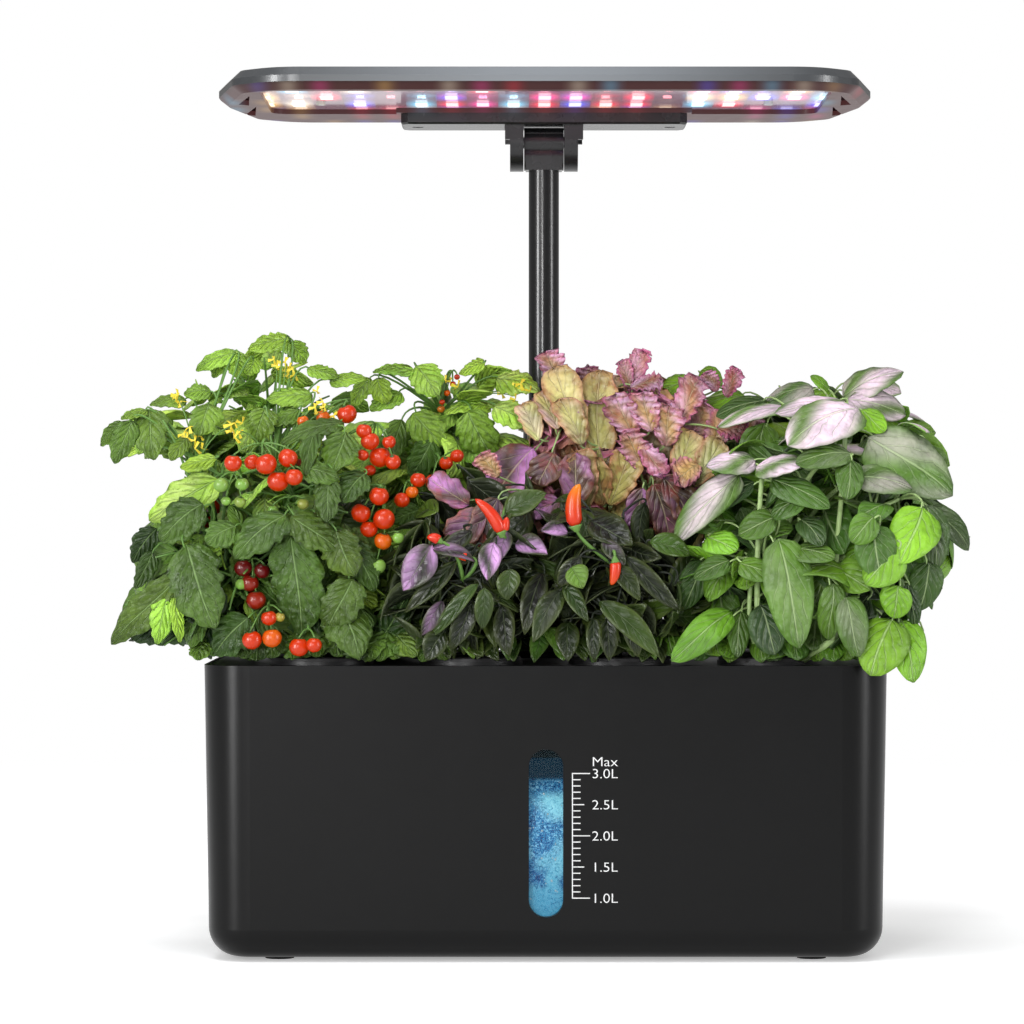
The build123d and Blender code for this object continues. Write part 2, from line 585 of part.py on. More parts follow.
def make_deck():
    inset = RIM_LIP + DECK_GAP
    plate = RectangleRounded(TANK_WIDTH - 2 * inset, TANK_DEPTH - 2 * inset, TANK_CORNER_R - inset)
    deck = upright(plate, DECK_BOTTOM, DECK_TOP)
    inset = TANK_WALL + SKIRT_GAP
    skirt = RectangleRounded(TANK_WIDTH - 2 * inset, TANK_DEPTH - 2 * inset, TANK_CORNER_R - inset)
    inset += SKIRT_WALL
    skirt -= RectangleRounded(TANK_WIDTH - 2 * inset, TANK_DEPTH - 2 * inset, TANK_CORNER_R - inset)
    deck += upright(skirt, DECK_BOTTOM - SKIRT_HEIGHT, DECK_BOTTOM)
    for x, y in pods():
        deck += disc(POD_COLLAR_R, DECK_BOTTOM, POT_SEAT, x, y)
    for x, y in pods():
        deck -= disc(POT_NECK_R + POD_GAP, DECK_BOTTOM - PAST, POT_SEAT + PAST, x, y)
    deck -= disc(SOCKET_NECK_R + SEAT_FIT, DECK_BOTTOM - PAST, DECK_TOP + PAST, 0, MAST_Y)
    port = Pos(PORT_X, PORT_Y) * RectangleRounded(PORT_LENGTH, PORT_DEPTH, PORT_CORNER_R)
    deck -= upright(port, DECK_BOTTOM - PAST, DECK_TOP + PAST)
    for x, y in control_pegs():
        deck -= disc(PEG_R + PEG_GAP, DECK_BOTTOM - PAST, DECK_TOP + PAST, x, y)
    for side in (-1, 1):
        inner = PORT_X + side * (LID_KNUCKLE_HALF + LID_LUG_GAP)
        outer = inner + side * LID_LUG_WIDTH
        low, high = min(inner, outer), max(inner, outer)
        lug = rod_x(LID_BARREL_R, low, high, LID_PIN_Y, LID_PIN_Z)
        lug += block((low, LID_PIN_Y - LID_BARREL_R, DECK_BOTTOM),
                     (high, LID_PIN_Y + LID_BARREL_R, LID_PIN_Z))
        deck += lug
    reach = LID_KNUCKLE_HALF + LID_LUG_GAP + LID_LUG_WIDTH
    deck -= rod_x(LID_PIN_R + PRESS_FIT, PORT_X - reach - PAST, PORT_X + reach + PAST, LID_PIN_Y, LID_PIN_Z)
    x, y = hose_place()
    return deck + disc(HOSE_BORE_R - SEAT_FIT, DECK_BOTTOM - BARB_LENGTH, DECK_BOTTOM, x, y)


def make_pot():
    """Net pot on the origin's axis: flange, slotted basket wall and pierced floor."""
    pot = cone(POT_FOOT_R, POT_NECK_R, POT_BOTTOM, POT_SEAT) + disc(POT_FLANGE_R, POT_SEAT, POT_TOP)
    pot = chamfer(pot.edges().filter_by(GeomType.CIRCLE).sort_by(Axis.Z)[-1], POT_RIM_CHAMFER)
    inside = cone(POT_FOOT_R - POT_WALL, POT_NECK_R - POT_WALL, POT_BOTTOM + POT_WALL, POT_SEAT)
    pot -= inside + disc(POT_NECK_R - POT_WALL, POT_SEAT, POT_TOP + PAST)
    slot_low = POT_BOTTOM + POT_SLOT_LIFT
    reach = POT_NECK_R + PAST
    slot = block((0, -POT_SLOT_WIDTH / 2, slot_low), (reach, POT_SLOT_WIDTH / 2, slot_low + POT_SLOT_LENGTH))
    for turn in range(POT_SLOTS):
        pot -= Rot(0, 0, turn * 360 / POT_SLOTS) * slot
    hole_ring = POT_FOOT_R * POT_FLOOR_RING
    for turn in range(POT_SLOTS // 2):
        angle = radians(turn * 720 / POT_SLOTS)
        pot -= disc(POT_SLOT_WIDTH / 2, POT_BOTTOM - PAST, POT_BOTTOM + POT_WALL + PAST,
                    hole_ring * cos(angle), hole_ring * sin(angle))
    return pot


def make_sponge():
    """Grow sponge on the origin's axis, drilled for the stem."""
    inside = POT_NECK_R - POT_WALL - SPONGE_GAP
    slope = (POT_NECK_R - POT_FOOT_R) / POT_DEPTH
    low = SPONGE_TOP - SPONGE_HEIGHT
    sponge = cone(inside - slope * (POT_SEAT - low), inside, low, POT_SEAT)
    sponge += disc(inside, POT_SEAT, SPONGE_TOP)
    return sponge - disc(STEM_R + STEM_GAP, STEM_BOTTOM - STEM_GAP, SPONGE_TOP + PAST)


def leaf_lobe(x, y, z, radius, turn):
    """Faceted round lobe of a leaf cloud, its rows of corners twisted against each other."""
    corners = [(x, y, z - radius), (x, y, z + radius)]
    for level in LEAF_LOBE_LEVELS:
        across = radius * cos(radians(level))
        for side in range(LEAF_LOBE_SIDES):
            angle = radians(turn + level + side * 360 / LEAF_LOBE_SIDES)
            corners.append((x + across * cos(angle), y + across * sin(angle),
                            z + radius * sin(radians(level))))
    return ConvexPolyhedron(corners)


def make_plant(plant):
    pod_x, pod_y = plant["pod"]
    cloud = None
    for number, (x, y, z, radius) in enumerate(plant["lobes"]):
        lobe = leaf_lobe(pod_x + x, pod_y + y, POT_TOP + z, radius, LEAF_LOBE_TURN * number)
        cloud = lobe if cloud is None else cloud + lobe
    cell = None
    for x_span, y_span, z_span in plant["cells"]:
        low = (x_span[0], y_span[0], POT_TOP + z_span[0])
        high = (x_span[1], y_span[1], POT_TOP + z_span[1])
        cell = block(low, high) if cell is None else cell + block(low, high)
    return (cloud & cell) + disc(STEM_R, STEM_BOTTOM, POT_TOP + plant["lobes"][0][2], pod_x, pod_y)


# ---------------------------------------------------------------- mast
def make_socket():
    collar_top = DECK_TOP + SOCKET_FLANGE_THICKNESS + SOCKET_COLLAR_HEIGHT
    socket = disc(SOCKET_NECK_R, SOCKET_BOTTOM, DECK_TOP, 0, MAST_Y)
    socket += disc(SOCKET_FLANGE_R, DECK_TOP, DECK_TOP + SOCKET_FLANGE_THICKNESS, 0, MAST_Y)
    socket += disc(SOCKET_COLLAR_R, DECK_TOP, collar_top, 0, MAST_Y)
    socket = chamfer(socket.edges().filter_by(GeomType.CIRCLE).sort_by(Axis.Z)[-1], SOCKET_CHAMFER)
    return socket - disc(LOWER_TUBE_R + SEAT_FIT, LOWER_TUBE_BOTTOM, collar_top + PAST, 0, MAST_Y)


def make_socket_nut():
    nut = disc(NUT_R, DECK_BOTTOM - NUT_HEIGHT, DECK_BOTTOM, 0, MAST_Y)
    notch = disc(NUT_NOTCH_R, 0, DECK_BOTTOM + PAST, NUT_R + NUT_NOTCH_OUT, 0)
    for turn in range(NUT_NOTCHES):
        nut -= Pos(0, MAST_Y, 0) * Rot(0, 0, turn * 360 / NUT_NOTCHES) * notch
    return nut - disc(SOCKET_NECK_R + SEAT_FIT, 0, RIM_HEIGHT, 0, MAST_Y)


def make_bush():
    bore = UPPER_TUBE_R + SLIDE_FIT
    seat = LOWER_TUBE_R - LOWER_TUBE_WALL - SEAT_FIT
    bush = ring(seat, bore, LOWER_TUBE_TOP - BUSH_LENGTH, LOWER_TUBE_TOP, 0, MAST_Y)
    return bush + ring(LOWER_TUBE_R, bore, LOWER_TUBE_TOP, LOWER_TUBE_TOP + BUSH_FLANGE, 0, MAST_Y)


def make_guide():
    outer = LOWER_TUBE_R - LOWER_TUBE_WALL - GUIDE_GAP
    guide = disc(outer, TUBE_BOTTOM - GUIDE_LENGTH, TUBE_BOTTOM, 0, MAST_Y)
    plug = UPPER_TUBE_R - UPPER_TUBE_WALL - SEAT_FIT
    return guide + disc(plug, TUBE_BOTTOM, TUBE_BOTTOM + SPIGOT_LENGTH, 0, MAST_Y)


def make_knuckle():
    lobe_z = PIN_HEIGHT - KNUCKLE_LOBE_DROP
    knuckle = rod_x(KNUCKLE_R, -KNUCKLE_HALF, KNUCKLE_HALF, MAST_Y, PIN_HEIGHT)
    knuckle += rod_x(KNUCKLE_LOBE_R, -KNUCKLE_HALF, KNUCKLE_HALF, MAST_Y, lobe_z)
    knuckle += block((-NECK_HALF_WIDTH, MAST_Y - KNUCKLE_LOBE_R, TUBE_TOP),
                     (NECK_HALF_WIDTH, MAST_Y + KNUCKLE_LOBE_R, lobe_z))
    for angle in KNUCKLE_GROOVE_ANGLES:
        y = MAST_Y + KNUCKLE_R * cos(radians(angle))
        z = PIN_HEIGHT + KNUCKLE_R * sin(radians(angle))
        knuckle -= rod_x(KNUCKLE_GROOVE, -KNUCKLE_HALF - PAST, KNUCKLE_HALF + PAST, y, z)
    plug = UPPER_TUBE_R - UPPER_TUBE_WALL - SEAT_FIT
    knuckle += disc(plug, TUBE_TOP - SPIGOT_LENGTH, TUBE_TOP, 0, MAST_Y)
    return knuckle - rod_x(PIN_R + PIN_FIT, -KNUCKLE_HALF - PAST, KNUCKLE_HALF + PAST, MAST_Y, PIN_HEIGHT)


# ---------------------------------------------------------------- hinge
def make_yoke():
    yoke = block((-EAR_OUT - YOKE_PLATE_OVERHANG, MAST_Y - EAR_R, DRIVER_FLOOR),
                 (EAR_OUT + YOKE_PLATE_OVERHANG, MAST_Y + EAR_R, LAMP_BOTTOM))
    for side in (-1, 1):
        low, high = sorted((side * EAR_IN, side * EAR_OUT))
        ear = rod_x(EAR_R, low, high, MAST_Y, PIN_HEIGHT)
        ear += block((low, MAST_Y - EAR_R, PIN_HEIGHT), (high, MAST_Y + EAR_R, LAMP_TOP))
        yoke += ear - block((low - PAST, MAST_Y - 2 * EAR_R, LAMP_BOTTOM),
                            (high + PAST, MAST_Y + 2 * EAR_R, LAMP_TOP + PAST))
        low, high = sorted((side * EAR_OUT, side * (EAR_OUT + EAR_RIB_WIDTH)))
        for back in (-1, 1):
            near, far = sorted((back * EAR_R, back * (EAR_R - EAR_RIB_DEPTH)))
            yoke += block((low, MAST_Y + near, DRIVER_BOTTOM - EAR_RIB_HEIGHT),
                          (high, MAST_Y + far, LAMP_BOTTOM))
        head_low, head_high = sorted((side * (EAR_OUT - PIN_HEAD_THICKNESS), side * (EAR_OUT + PAST)))
        yoke -= rod_x(PIN_HEAD_R + SEAT_FIT, head_low, head_high, MAST_Y, PIN_HEIGHT)
    for x, y in yoke_screws():
        yoke -= disc(SCREW_R + PRESS_FIT, DRIVER_FLOOR - PAST, LAMP_BOTTOM + PAST, x, y)
    return yoke - rod_x(PIN_R + PRESS_FIT, -EAR_OUT, EAR_OUT, MAST_Y, PIN_HEIGHT)


def make_pin():
    pin = rod_x(PIN_R, -EAR_OUT, EAR_OUT - PIN_HEAD_THICKNESS + PAST, MAST_Y, PIN_HEIGHT)
    return pin + rod_x(PIN_HEAD_R, -EAR_OUT, -EAR_OUT + PIN_HEAD_THICKNESS, MAST_Y, PIN_HEIGHT)


def make_pin_nut():
    nut = rod_x(PIN_HEAD_R, EAR_OUT - PIN_HEAD_THICKNESS, EAR_OUT, MAST_Y, PIN_HEIGHT)
    return nut - rod_x(PIN_R + PRESS_FIT, EAR_OUT - PIN_HEAD_THICKNESS - PAST,
                       EAR_OUT - PIN_HEAD_THICKNESS + PAST, MAST_Y, PIN_HEIGHT)


# ---------------------------------------------------------------- lamp head
def lamp_outline(inset=0.0):
    """Long plate with drawn-in corners and short blunt tips, seen from above."""
    corner_x = LAMP_HALF_LENGTH - LAMP_CORNER_IN
    shoulder_x = LAMP_HALF_LENGTH - LAMP_SHOULDER_IN
    quarter = [(corner_x, LAMP_HALF_DEPTH), (shoulder_x, LAMP_HALF_DEPTH - LAMP_SHOULDER_BACK),
               (LAMP_HALF_LENGTH, LAMP_TIP_HALF)]
    right = quarter + [(x, -y) for x, y in reversed(quarter)]
    left = [(-x, y) for x, y in reversed(right)]
    outline = make_face(Polyline(*right, *left, close=True))
    places = [(corner_x, LAMP_CORNER_R), (shoulder_x, LAMP_SHOULDER_R), (LAMP_HALF_LENGTH, LAMP_TIP_R)]
    for x, radius in places:
        corners = [v for v in outline.vertices() if abs(abs(v.X) - x) < 0.01]
        outline = fillet(corners, radius)
    if inset:
        outline = offset(outline, -inset)
    return Pos(0, LAMP_CENTRE_Y) * outline


def lamp_plate(inset, low, high, bevel):
    """The lamp's outline between two heights, with a bevel round its top edge."""
    plate = upright(lamp_outline(inset), low, high)
    return chamfer(plate.faces().sort_by(Axis.Z)[-1].edges(), bevel)


def make_cover():
    cover = lamp_plate(0, LAMP_CREASE, LAMP_TOP, COVER_BEVEL)
    inside_bevel = min(COVER_BEVEL, (COVER_INSIDE - LAMP_CREASE) * COVER_BEVEL_INSIDE)
    return cover - lamp_plate(COVER_WALL, LAMP_CREASE - PAST, COVER_INSIDE, inside_bevel)


def opening_outline(margin):
    """The lamp's light opening, margin larger all round."""
    return Pos(0, OPENING_MIDDLE_Y) * RectangleRounded(
        2 * (OPENING_HALF_LENGTH + margin), OPENING_DEPTH + 2 * margin, OPENING_CORNER_R + margin)


def vent_outlines():
    """Two slim triangular vents beside each end of the light opening."""
    corners = [(0, 0), (VENT_WIDTH, VENT_LENGTH - VENT_WIDTH / 2), (VENT_WIDTH * VENT_TIP, VENT_LENGTH)]
    inner = OPENING_HALF_LENGTH + VENT_WALL
    for side in (-1, 1):
        for start in (-VENT_LENGTH - VENT_WALL, 0):
            y = LAMP_CENTRE_Y + start
            yield make_face(Polyline(*[(side * (inner + dx), y + dy) for dx, dy in corners], close=True))


def yoke_screws():
    x = EAR_OUT + YOKE_SCREW_OUT
    return [(side * x, MAST_Y + y) for side in (-1, 1) for y in (-YOKE_SCREW_FRONT, YOKE_SCREW_BACK)]


def driver_screws():
    return [(side * DRIVER_SCREW_X, MAST_Y) for side in (-1, 1)]


def make_bezel():
    slope = degrees(atan2(BEZEL_SLOPE, LAMP_CREASE - LAMP_BOTTOM))
    form = extrude(Plane.XY.offset(LAMP_CREASE) * lamp_outline(), amount=LAMP_CREASE - LAMP_BOTTOM,
                   dir=(0, 0, -1), taper=slope)
    tray = upright(lamp_outline(COVER_WALL), LENS_BOTTOM, LAMP_CREASE + PAST)
    bezel = form - tray
    tab = block((-DRIVER_HALF_LENGTH - OPENING_TAB_MARGIN, MAST_Y - DRIVER_DEPTH / 2, LAMP_BOTTOM - PAST),
                (DRIVER_HALF_LENGTH + OPENING_TAB_MARGIN, OPENING_BACK_Y + PAST, LENS_BOTTOM + 2 * PAST))
    bezel -= upright(opening_outline(0), LAMP_BOTTOM - PAST, LENS_BOTTOM + PAST) - tab
    for vent in vent_outlines():
        bezel -= upright(vent, LAMP_BOTTOM - PAST, LENS_BOTTOM + PAST)
    for x, y in driver_screws():
        bezel += disc(SCREW_BOSS_R, LAMP_BOTTOM, LENS_BOTTOM + SCREW_BOSS_RISE, x, y)
        bezel -= disc(SCREW_R + PRESS_FIT, LAMP_BOTTOM - PAST, LENS_BOTTOM + SCREW_BORE_RISE, x, y)
    for x, y in yoke_screws():
        bezel -= disc(SCREW_R + PRESS_FIT, LAMP_BOTTOM - PAST, LENS_BOTTOM + PAST, x, y)
    return bezel


def make_lens():
    lens = upright(opening_outline(LENS_OVERLAP), LENS_BOTTOM, LENS_BOTTOM + LENS_THICKNESS)
    for side in (-1, 1):
        lens -= disc(CLIP_SHANK_R + SEAT_FIT, LENS_BOTTOM - PAST, LAMP_TOP, side * CLIP_X, CLIP_Y)
    return lens


def make_clips():
    clips = []
    for side in (-1, 1):
        clip = disc(CLIP_R, LENS_BOTTOM - CLIP_HEAD, LENS_BOTTOM, side * CLIP_X, CLIP_Y)
        clip += disc(CLIP_SHANK_R, LENS_BOTTOM, BOARD_BOTTOM, side * CLIP_X, CLIP_Y)
        clips.append(clip.solid())
    return Compound(clips)


def make_led_board():
    board = Pos(0, OPENING_MIDDLE_Y) * RectangleRounded(
        2 * BOARD_HALF_LENGTH, OPENING_DEPTH, BOARD_CORNER_R)
    return upright(board, BOARD_BOTTOM, COVER_INSIDE)


def make_leds():
    chips = []
    half = LED_SIZE / 2
    for row in range(LED_ROWS):
        y = OPENING_MIDDLE_Y + (row - (LED_ROWS - 1) / 2) * LED_ROW_PITCH
        for column in range(LED_COLUMNS):
            x = (column - (LED_COLUMNS - 1) / 2) * LED_PITCH
            near_clip = abs(abs(x) - CLIP_X) < CLIP_R + LED_SIZE and abs(y - CLIP_Y) < CLIP_R + LED_SIZE
            if abs(x) + half < BOARD_HALF_LENGTH and not near_clip:
                chips.append(block((x - half, y - half, BOARD_BOTTOM - LED_HEIGHT),
                                   (x + half, y + half, BOARD_BOTTOM)).solid())
    return Compound(chips)


def driver_outline(inset):
    corner = DRIVER_CORNER - inset
    outline = Rectangle(2 * (DRIVER_HALF_LENGTH - inset), DRIVER_DEPTH - 2 * inset)
    return Pos(0, MAST_Y) * chamfer(outline.vertices(), max(corner, DRIVER_CORNER_INSIDE))


def make_driver_cover():
    cover = upright(driver_outline(0), DRIVER_BOTTOM, LAMP_BOTTOM)
    cover = chamfer(cover.faces().sort_by(Axis.Z)[0].edges(), DRIVER_EDGE)
    cover -= upright(driver_outline(DRIVER_WALL), DRIVER_FLOOR, LAMP_BOTTOM + PAST)
    for side in (-1, 1):
        low, high = sorted((side * (EAR_IN - DRIVER_GAP), side * (EAR_OUT + EAR_RIB_WIDTH + DRIVER_GAP)))
        cover -= block((low, MAST_Y - EAR_R - DRIVER_GAP, DRIVER_BOTTOM - PAST),
                       (high, MAST_Y + EAR_R + DRIVER_GAP, DRIVER_FLOOR + PAST))
    for end in (-1, 1):
        x = DRIVER_BOARD_X + end * (DRIVER_BOARD_LENGTH / 2 - DRIVER_REST_HALF)
        cover += block((x - DRIVER_REST_HALF, MAST_Y - DRIVER_REST_HALF_DEPTH, DRIVER_BOTTOM + DRIVER_EDGE),
                       (x + DRIVER_REST_HALF, MAST_Y + DRIVER_REST_HALF_DEPTH,
                        DRIVER_FLOOR + DRIVER_BOARD_STAND))
    for x, y in driver_screws():
        cover += disc(SCREW_BOSS_R, DRIVER_BOTTOM, LAMP_BOTTOM, x, y)
        cover -= disc(SCREW_R + SCREW_HOLE_GAP, DRIVER_BOTTOM - PAST, LAMP_BOTTOM + PAST, x, y)
        cover -= disc(SCREW_HEAD_R + SCREW_HEAD_GAP, DRIVER_BOTTOM - PAST, SCREW_SEAT, x, y)
    return cover


def make_driver_board():
    low = DRIVER_FLOOR + DRIVER_BOARD_STAND
    left = DRIVER_BOARD_X - DRIVER_BOARD_LENGTH / 2
    top = low + DRIVER_BOARD_THICKNESS
    board = block((left, MAST_Y - DRIVER_BOARD_HALF_DEPTH, low),
                  (left + DRIVER_BOARD_LENGTH, MAST_Y + DRIVER_BOARD_HALF_DEPTH, top))
    for step, width in enumerate(DRIVER_CHIP_WIDTHS):
        x = left + DRIVER_CHIP_START + step * DRIVER_CHIP_PITCH
        board += block((x, MAST_Y - DRIVER_CHIP_FRONT, top),
                       (x + width, MAST_Y + DRIVER_CHIP_BACK + step, top + DRIVER_CHIP_HEIGHT))
    return board


def make_lamp_screws():
    screws = []
    for x, y in driver_screws():
        screw = disc(SCREW_HEAD_R, SCREW_SEAT - SCREW_HEAD_THICKNESS, SCREW_SEAT, x, y)
        screws.append((screw + disc(SCREW_R, SCREW_SEAT, LENS_BOTTOM + SCREW_END_RISE, x, y)).solid())
    for x, y in yoke_screws():
        screw = disc(SCREW_HEAD_R, LENS_BOTTOM, LENS_BOTTOM + SCREW_HEAD_THICKNESS, x, y)
        screws.append((screw + disc(SCREW_R, DRIVER_FLOOR + YOKE_SCREW_LIFT, LENS_BOTTOM, x, y)).solid())
    return Compound(screws)


# ---------------------------------------------------------------- control box
def control_posts():
    return [(CONTROL_X + sx * CONTROL_POST_X, CONTROL_Y + sy * CONTROL_POST_Y)
            for sx in (-1, 1) for sy in (-1, 1)]


def button_places():
    return [(CONTROL_X + step * BUTTON_PITCH, CONTROL_Y + BUTTON_Y) for step in (-1, 0, 1)]


def make_control_housing():
    outline = Pos(CONTROL_X, CONTROL_Y) * RectangleRounded(CONTROL_LENGTH, CONTROL_DEPTH, CONTROL_EDGE_R)
    inside = Pos(CONTROL_X, CONTROL_Y) * RectangleRounded(
        CONTROL_LENGTH - 2 * CONTROL_WALL, CONTROL_DEPTH - 2 * CONTROL_WALL, CONTROL_EDGE_R - CONTROL_WALL)
    box = upright(outline, DECK_TOP, CONTROL_TOP)
    box = fillet(box.faces().sort_by(Axis.Z)[-1].edges(), CONTROL_TOP_EDGE_R)
    box -= upright(inside, DECK_TOP - PAST, CONTROL_CEILING)
    for x, y in control_posts():
        box += disc(CONTROL_POST_R, CONTROL_BOARD_TOP, CONTROL_CEILING, x, y)
        box -= disc(CONTROL_BORE_R, CONTROL_BOARD_TOP - PAST, CONTROL_BOARD_TOP + CONTROL_BORE_RISE, x, y)
    for x, y in control_pegs():
        box += disc(PEG_R, DECK_BOTTOM, CONTROL_CEILING, x, y)
    for x, y in button_places():
        box -= disc(BUTTON_R + BUTTON_GAP, CONTROL_CEILING - PAST, CONTROL_TOP + PAST, x, y)
    box -= disc(LIGHT_R + SEAT_FIT, CONTROL_CEILING - PAST, CONTROL_TOP + PAST,
                CONTROL_X + LIGHT_X, CONTROL_Y + LIGHT_Y)
    jack_z = CONTROL_BOARD_TOP + JACK_HEIGHT / 2
    back = CONTROL_Y + CONTROL_DEPTH / 2
    return box - rod_y(JACK_NOSE_R + SEAT_FIT, back - CONTROL_WALL - PAST, back + PAST, CONTROL_X, jack_z)


def make_control_board():
    low = DECK_TOP + CONTROL_BOARD_HEIGHT
    half_x = CONTROL_LENGTH / 2 - CONTROL_WALL - PEG_R - CONTROL_BOARD_GAP_X
    half_y = CONTROL_DEPTH / 2 - CONTROL_WALL - CONTROL_BOARD_GAP_Y
    board = block((CONTROL_X - half_x, CONTROL_Y - half_y, low),
                  (CONTROL_X + half_x, CONTROL_Y + half_y, CONTROL_BOARD_TOP))
    for x, y in control_posts():
        board -= disc(CONTROL_HOLE_R, low - PAST, CONTROL_BOARD_TOP + PAST, x, y)
    top = CONTROL_CEILING - BUTTON_FLANGE_THICKNESS - BUTTON_STEM - BUTTON_TRAVEL - SWITCH_GAP
    for x, y in button_places():
        half = SWITCH_SIZE / 2
        board += block((x - half, y - half, low), (x + half, y + half, top))
    return board


def make_control_screws():
    low = DECK_TOP + CONTROL_BOARD_HEIGHT
    screws = []
    for x, y in control_posts():
        screw = disc(CONTROL_SCREW_HEAD_R, low - CONTROL_SCREW_HEAD, low, x, y)
        screw += disc(CONTROL_SCREW_R, low, CONTROL_BOARD_TOP + CONTROL_SCREW_RISE, x, y)
        screws.append(screw.solid())
    return Compound(screws)


def make_status_light():
    x, y = CONTROL_X + LIGHT_X, CONTROL_Y + LIGHT_Y
    light = disc(LIGHT_R, CONTROL_BOARD_TOP, CONTROL_TOP + LIGHT_STANDS, x, y)
    return light + disc(LIGHT_R + LIGHT_FOOT, CONTROL_BOARD_TOP, CONTROL_BOARD_TOP + LIGHT_FOOT_HEIGHT, x, y)


def make_jack():
    z = CONTROL_BOARD_TOP + JACK_HEIGHT / 2
    back = CONTROL_Y + CONTROL_DEPTH / 2
    inner = back - CONTROL_WALL
    jack = block((CONTROL_X - JACK_WIDTH / 2, inner - JACK_LENGTH, CONTROL_BOARD_TOP),
                 (CONTROL_X + JACK_WIDTH / 2, inner, CONTROL_BOARD_TOP + JACK_HEIGHT))
    jack += rod_y(JACK_NOSE_R, inner, back, CONTROL_X, z)
    jack -= rod_y(JACK_BORE_R, back - JACK_BORE_DEPTH, back + PAST, CONTROL_X, z)
    return jack + rod_y(JACK_PIN_R, back - JACK_BORE_DEPTH - PAST, back - JACK_PIN_DROP, CONTROL_X, z)


def make_button(x, y):
    low = CONTROL_CEILING - BUTTON_FLANGE_THICKNESS
    cap = disc(BUTTON_R, low, CONTROL_TOP + BUTTON_STANDS, x, y)
    cap = fillet(cap.edges().filter_by(GeomType.CIRCLE).sort_by(Axis.Z)[-1], BUTTON_EDGE_R)
    cap += disc(BUTTON_R + BUTTON_FLANGE, low, CONTROL_CEILING, x, y)
    return cap + disc(BUTTON_STEM_R, low - BUTTON_STEM, low, x, y)


# ---------------------------------------------------------------- filling flap
def make_lid():
    low = DECK_TOP + LID_GAP
    high = low + LID_THICKNESS
    plate = Pos(PORT_X, PORT_Y) * RectangleRounded(
        PORT_LENGTH + 2 * LID_OVERLAP, PORT_DEPTH + 2 * LID_OVERLAP, PORT_CORNER_R)
    lid = upright(plate, low, high)
    front = PORT_Y - PORT_DEPTH / 2 - LID_OVERLAP
    lid += block((PORT_X - LID_TAB_HALF, front - LID_TAB, high - LID_TAB_THICKNESS),
                 (PORT_X + LID_TAB_HALF, front + PAST, high))
    lid += block((PORT_X - LID_KNUCKLE_HALF, LID_BACK_Y - PAST, low),
                 (PORT_X + LID_KNUCKLE_HALF, LID_PIN_Y, high))
    lid += rod_x(LID_BARREL_R, PORT_X - LID_KNUCKLE_HALF, PORT_X + LID_KNUCKLE_HALF, LID_PIN_Y, LID_PIN_Z)
    return lid - rod_x(LID_PIN_R + PIN_FIT, PORT_X - LID_KNUCKLE_HALF - PAST,
                       PORT_X + LID_KNUCKLE_HALF + PAST, LID_PIN_Y, LID_PIN_Z)


def make_lid_pin():
    reach = LID_KNUCKLE_HALF + LID_LUG_GAP + LID_LUG_WIDTH
    return rod_x(LID_PIN_R, PORT_X - reach, PORT_X + reach, LID_PIN_Y, LID_PIN_Z)


# ---------------------------------------------------------------- pump
def make_pump_body():
    left = PUMP_X - PUMP_WIDTH / 2
    body = block((left, PUMP_FRONT_Y, PUMP_BASE), (left + PUMP_WIDTH, PUMP_FRONT_Y + PUMP_DEPTH, PUMP_TOP))
    body = fillet(body.edges().filter_by(Axis.Y), PUMP_EDGE_R)
    body -= rod_y(CHAMBER_R, PUMP_FRONT_Y - PAST, PUMP_FRONT_Y + CHAMBER_DEPTH, PUMP_X, PUMP_AXIS_Z)
    well_end = PUMP_FRONT_Y + CHAMBER_DEPTH + WELL_DEPTH
    body -= rod_y(WELL_R, PUMP_FRONT_Y, well_end, PUMP_X, PUMP_AXIS_Z)
    body -= rod_y(SHAFT_R + PRESS_FIT, well_end - PAST, well_end + SHAFT_SEAT, PUMP_X, PUMP_AXIS_Z)
    x, y = hose_place()
    return body + disc(HOSE_BORE_R - SEAT_FIT, PUMP_TOP - PAST, PUMP_TOP + BARB_LENGTH, x, y)


def make_pump_cover():
    left = PUMP_X - PUMP_WIDTH / 2
    face = PUMP_FRONT_Y - PUMP_COVER_THICKNESS
    cover = block((left, face, PUMP_BASE), (left + PUMP_WIDTH, PUMP_FRONT_Y, PUMP_TOP))
    cover = fillet(cover.edges().filter_by(Axis.Y), PUMP_EDGE_R)
    for step in (-1, 1):
        z = PUMP_AXIS_Z + step * PUMP_SLOT_FROM_AXIS
        cover -= block((PUMP_X - PUMP_SLOT_HALF, face - PAST, z - PUMP_SLOT_HALF_HEIGHT),
                       (PUMP_X + PUMP_SLOT_HALF, PUMP_FRONT_Y + PAST, z + PUMP_SLOT_HALF_HEIGHT))
    return cover - rod_y(SHAFT_R + PRESS_FIT, PUMP_FRONT_Y - SHAFT_FRONT_SEAT, PUMP_FRONT_Y + PAST,
                         PUMP_X, PUMP_AXIS_Z)


def make_pump_filter():
    face = PUMP_FRONT_Y - PUMP_COVER_THICKNESS
    half = PUMP_WIDTH / 2 - PUMP_FILTER_INSET
    return block((PUMP_X - half, face - PUMP_FILTER_THICKNESS, PUMP_BASE + PUMP_FILTER_INSET),
                 (PUMP_X + half, face, PUMP_TOP - PUMP_FILTER_INSET))


def make_shaft():
    end = PUMP_FRONT_Y + CHAMBER_DEPTH + WELL_DEPTH + SHAFT_SEAT
    return rod_y(SHAFT_R, PUMP_FRONT_Y - SHAFT_FRONT_SEAT, end, PUMP_X, PUMP_AXIS_Z)


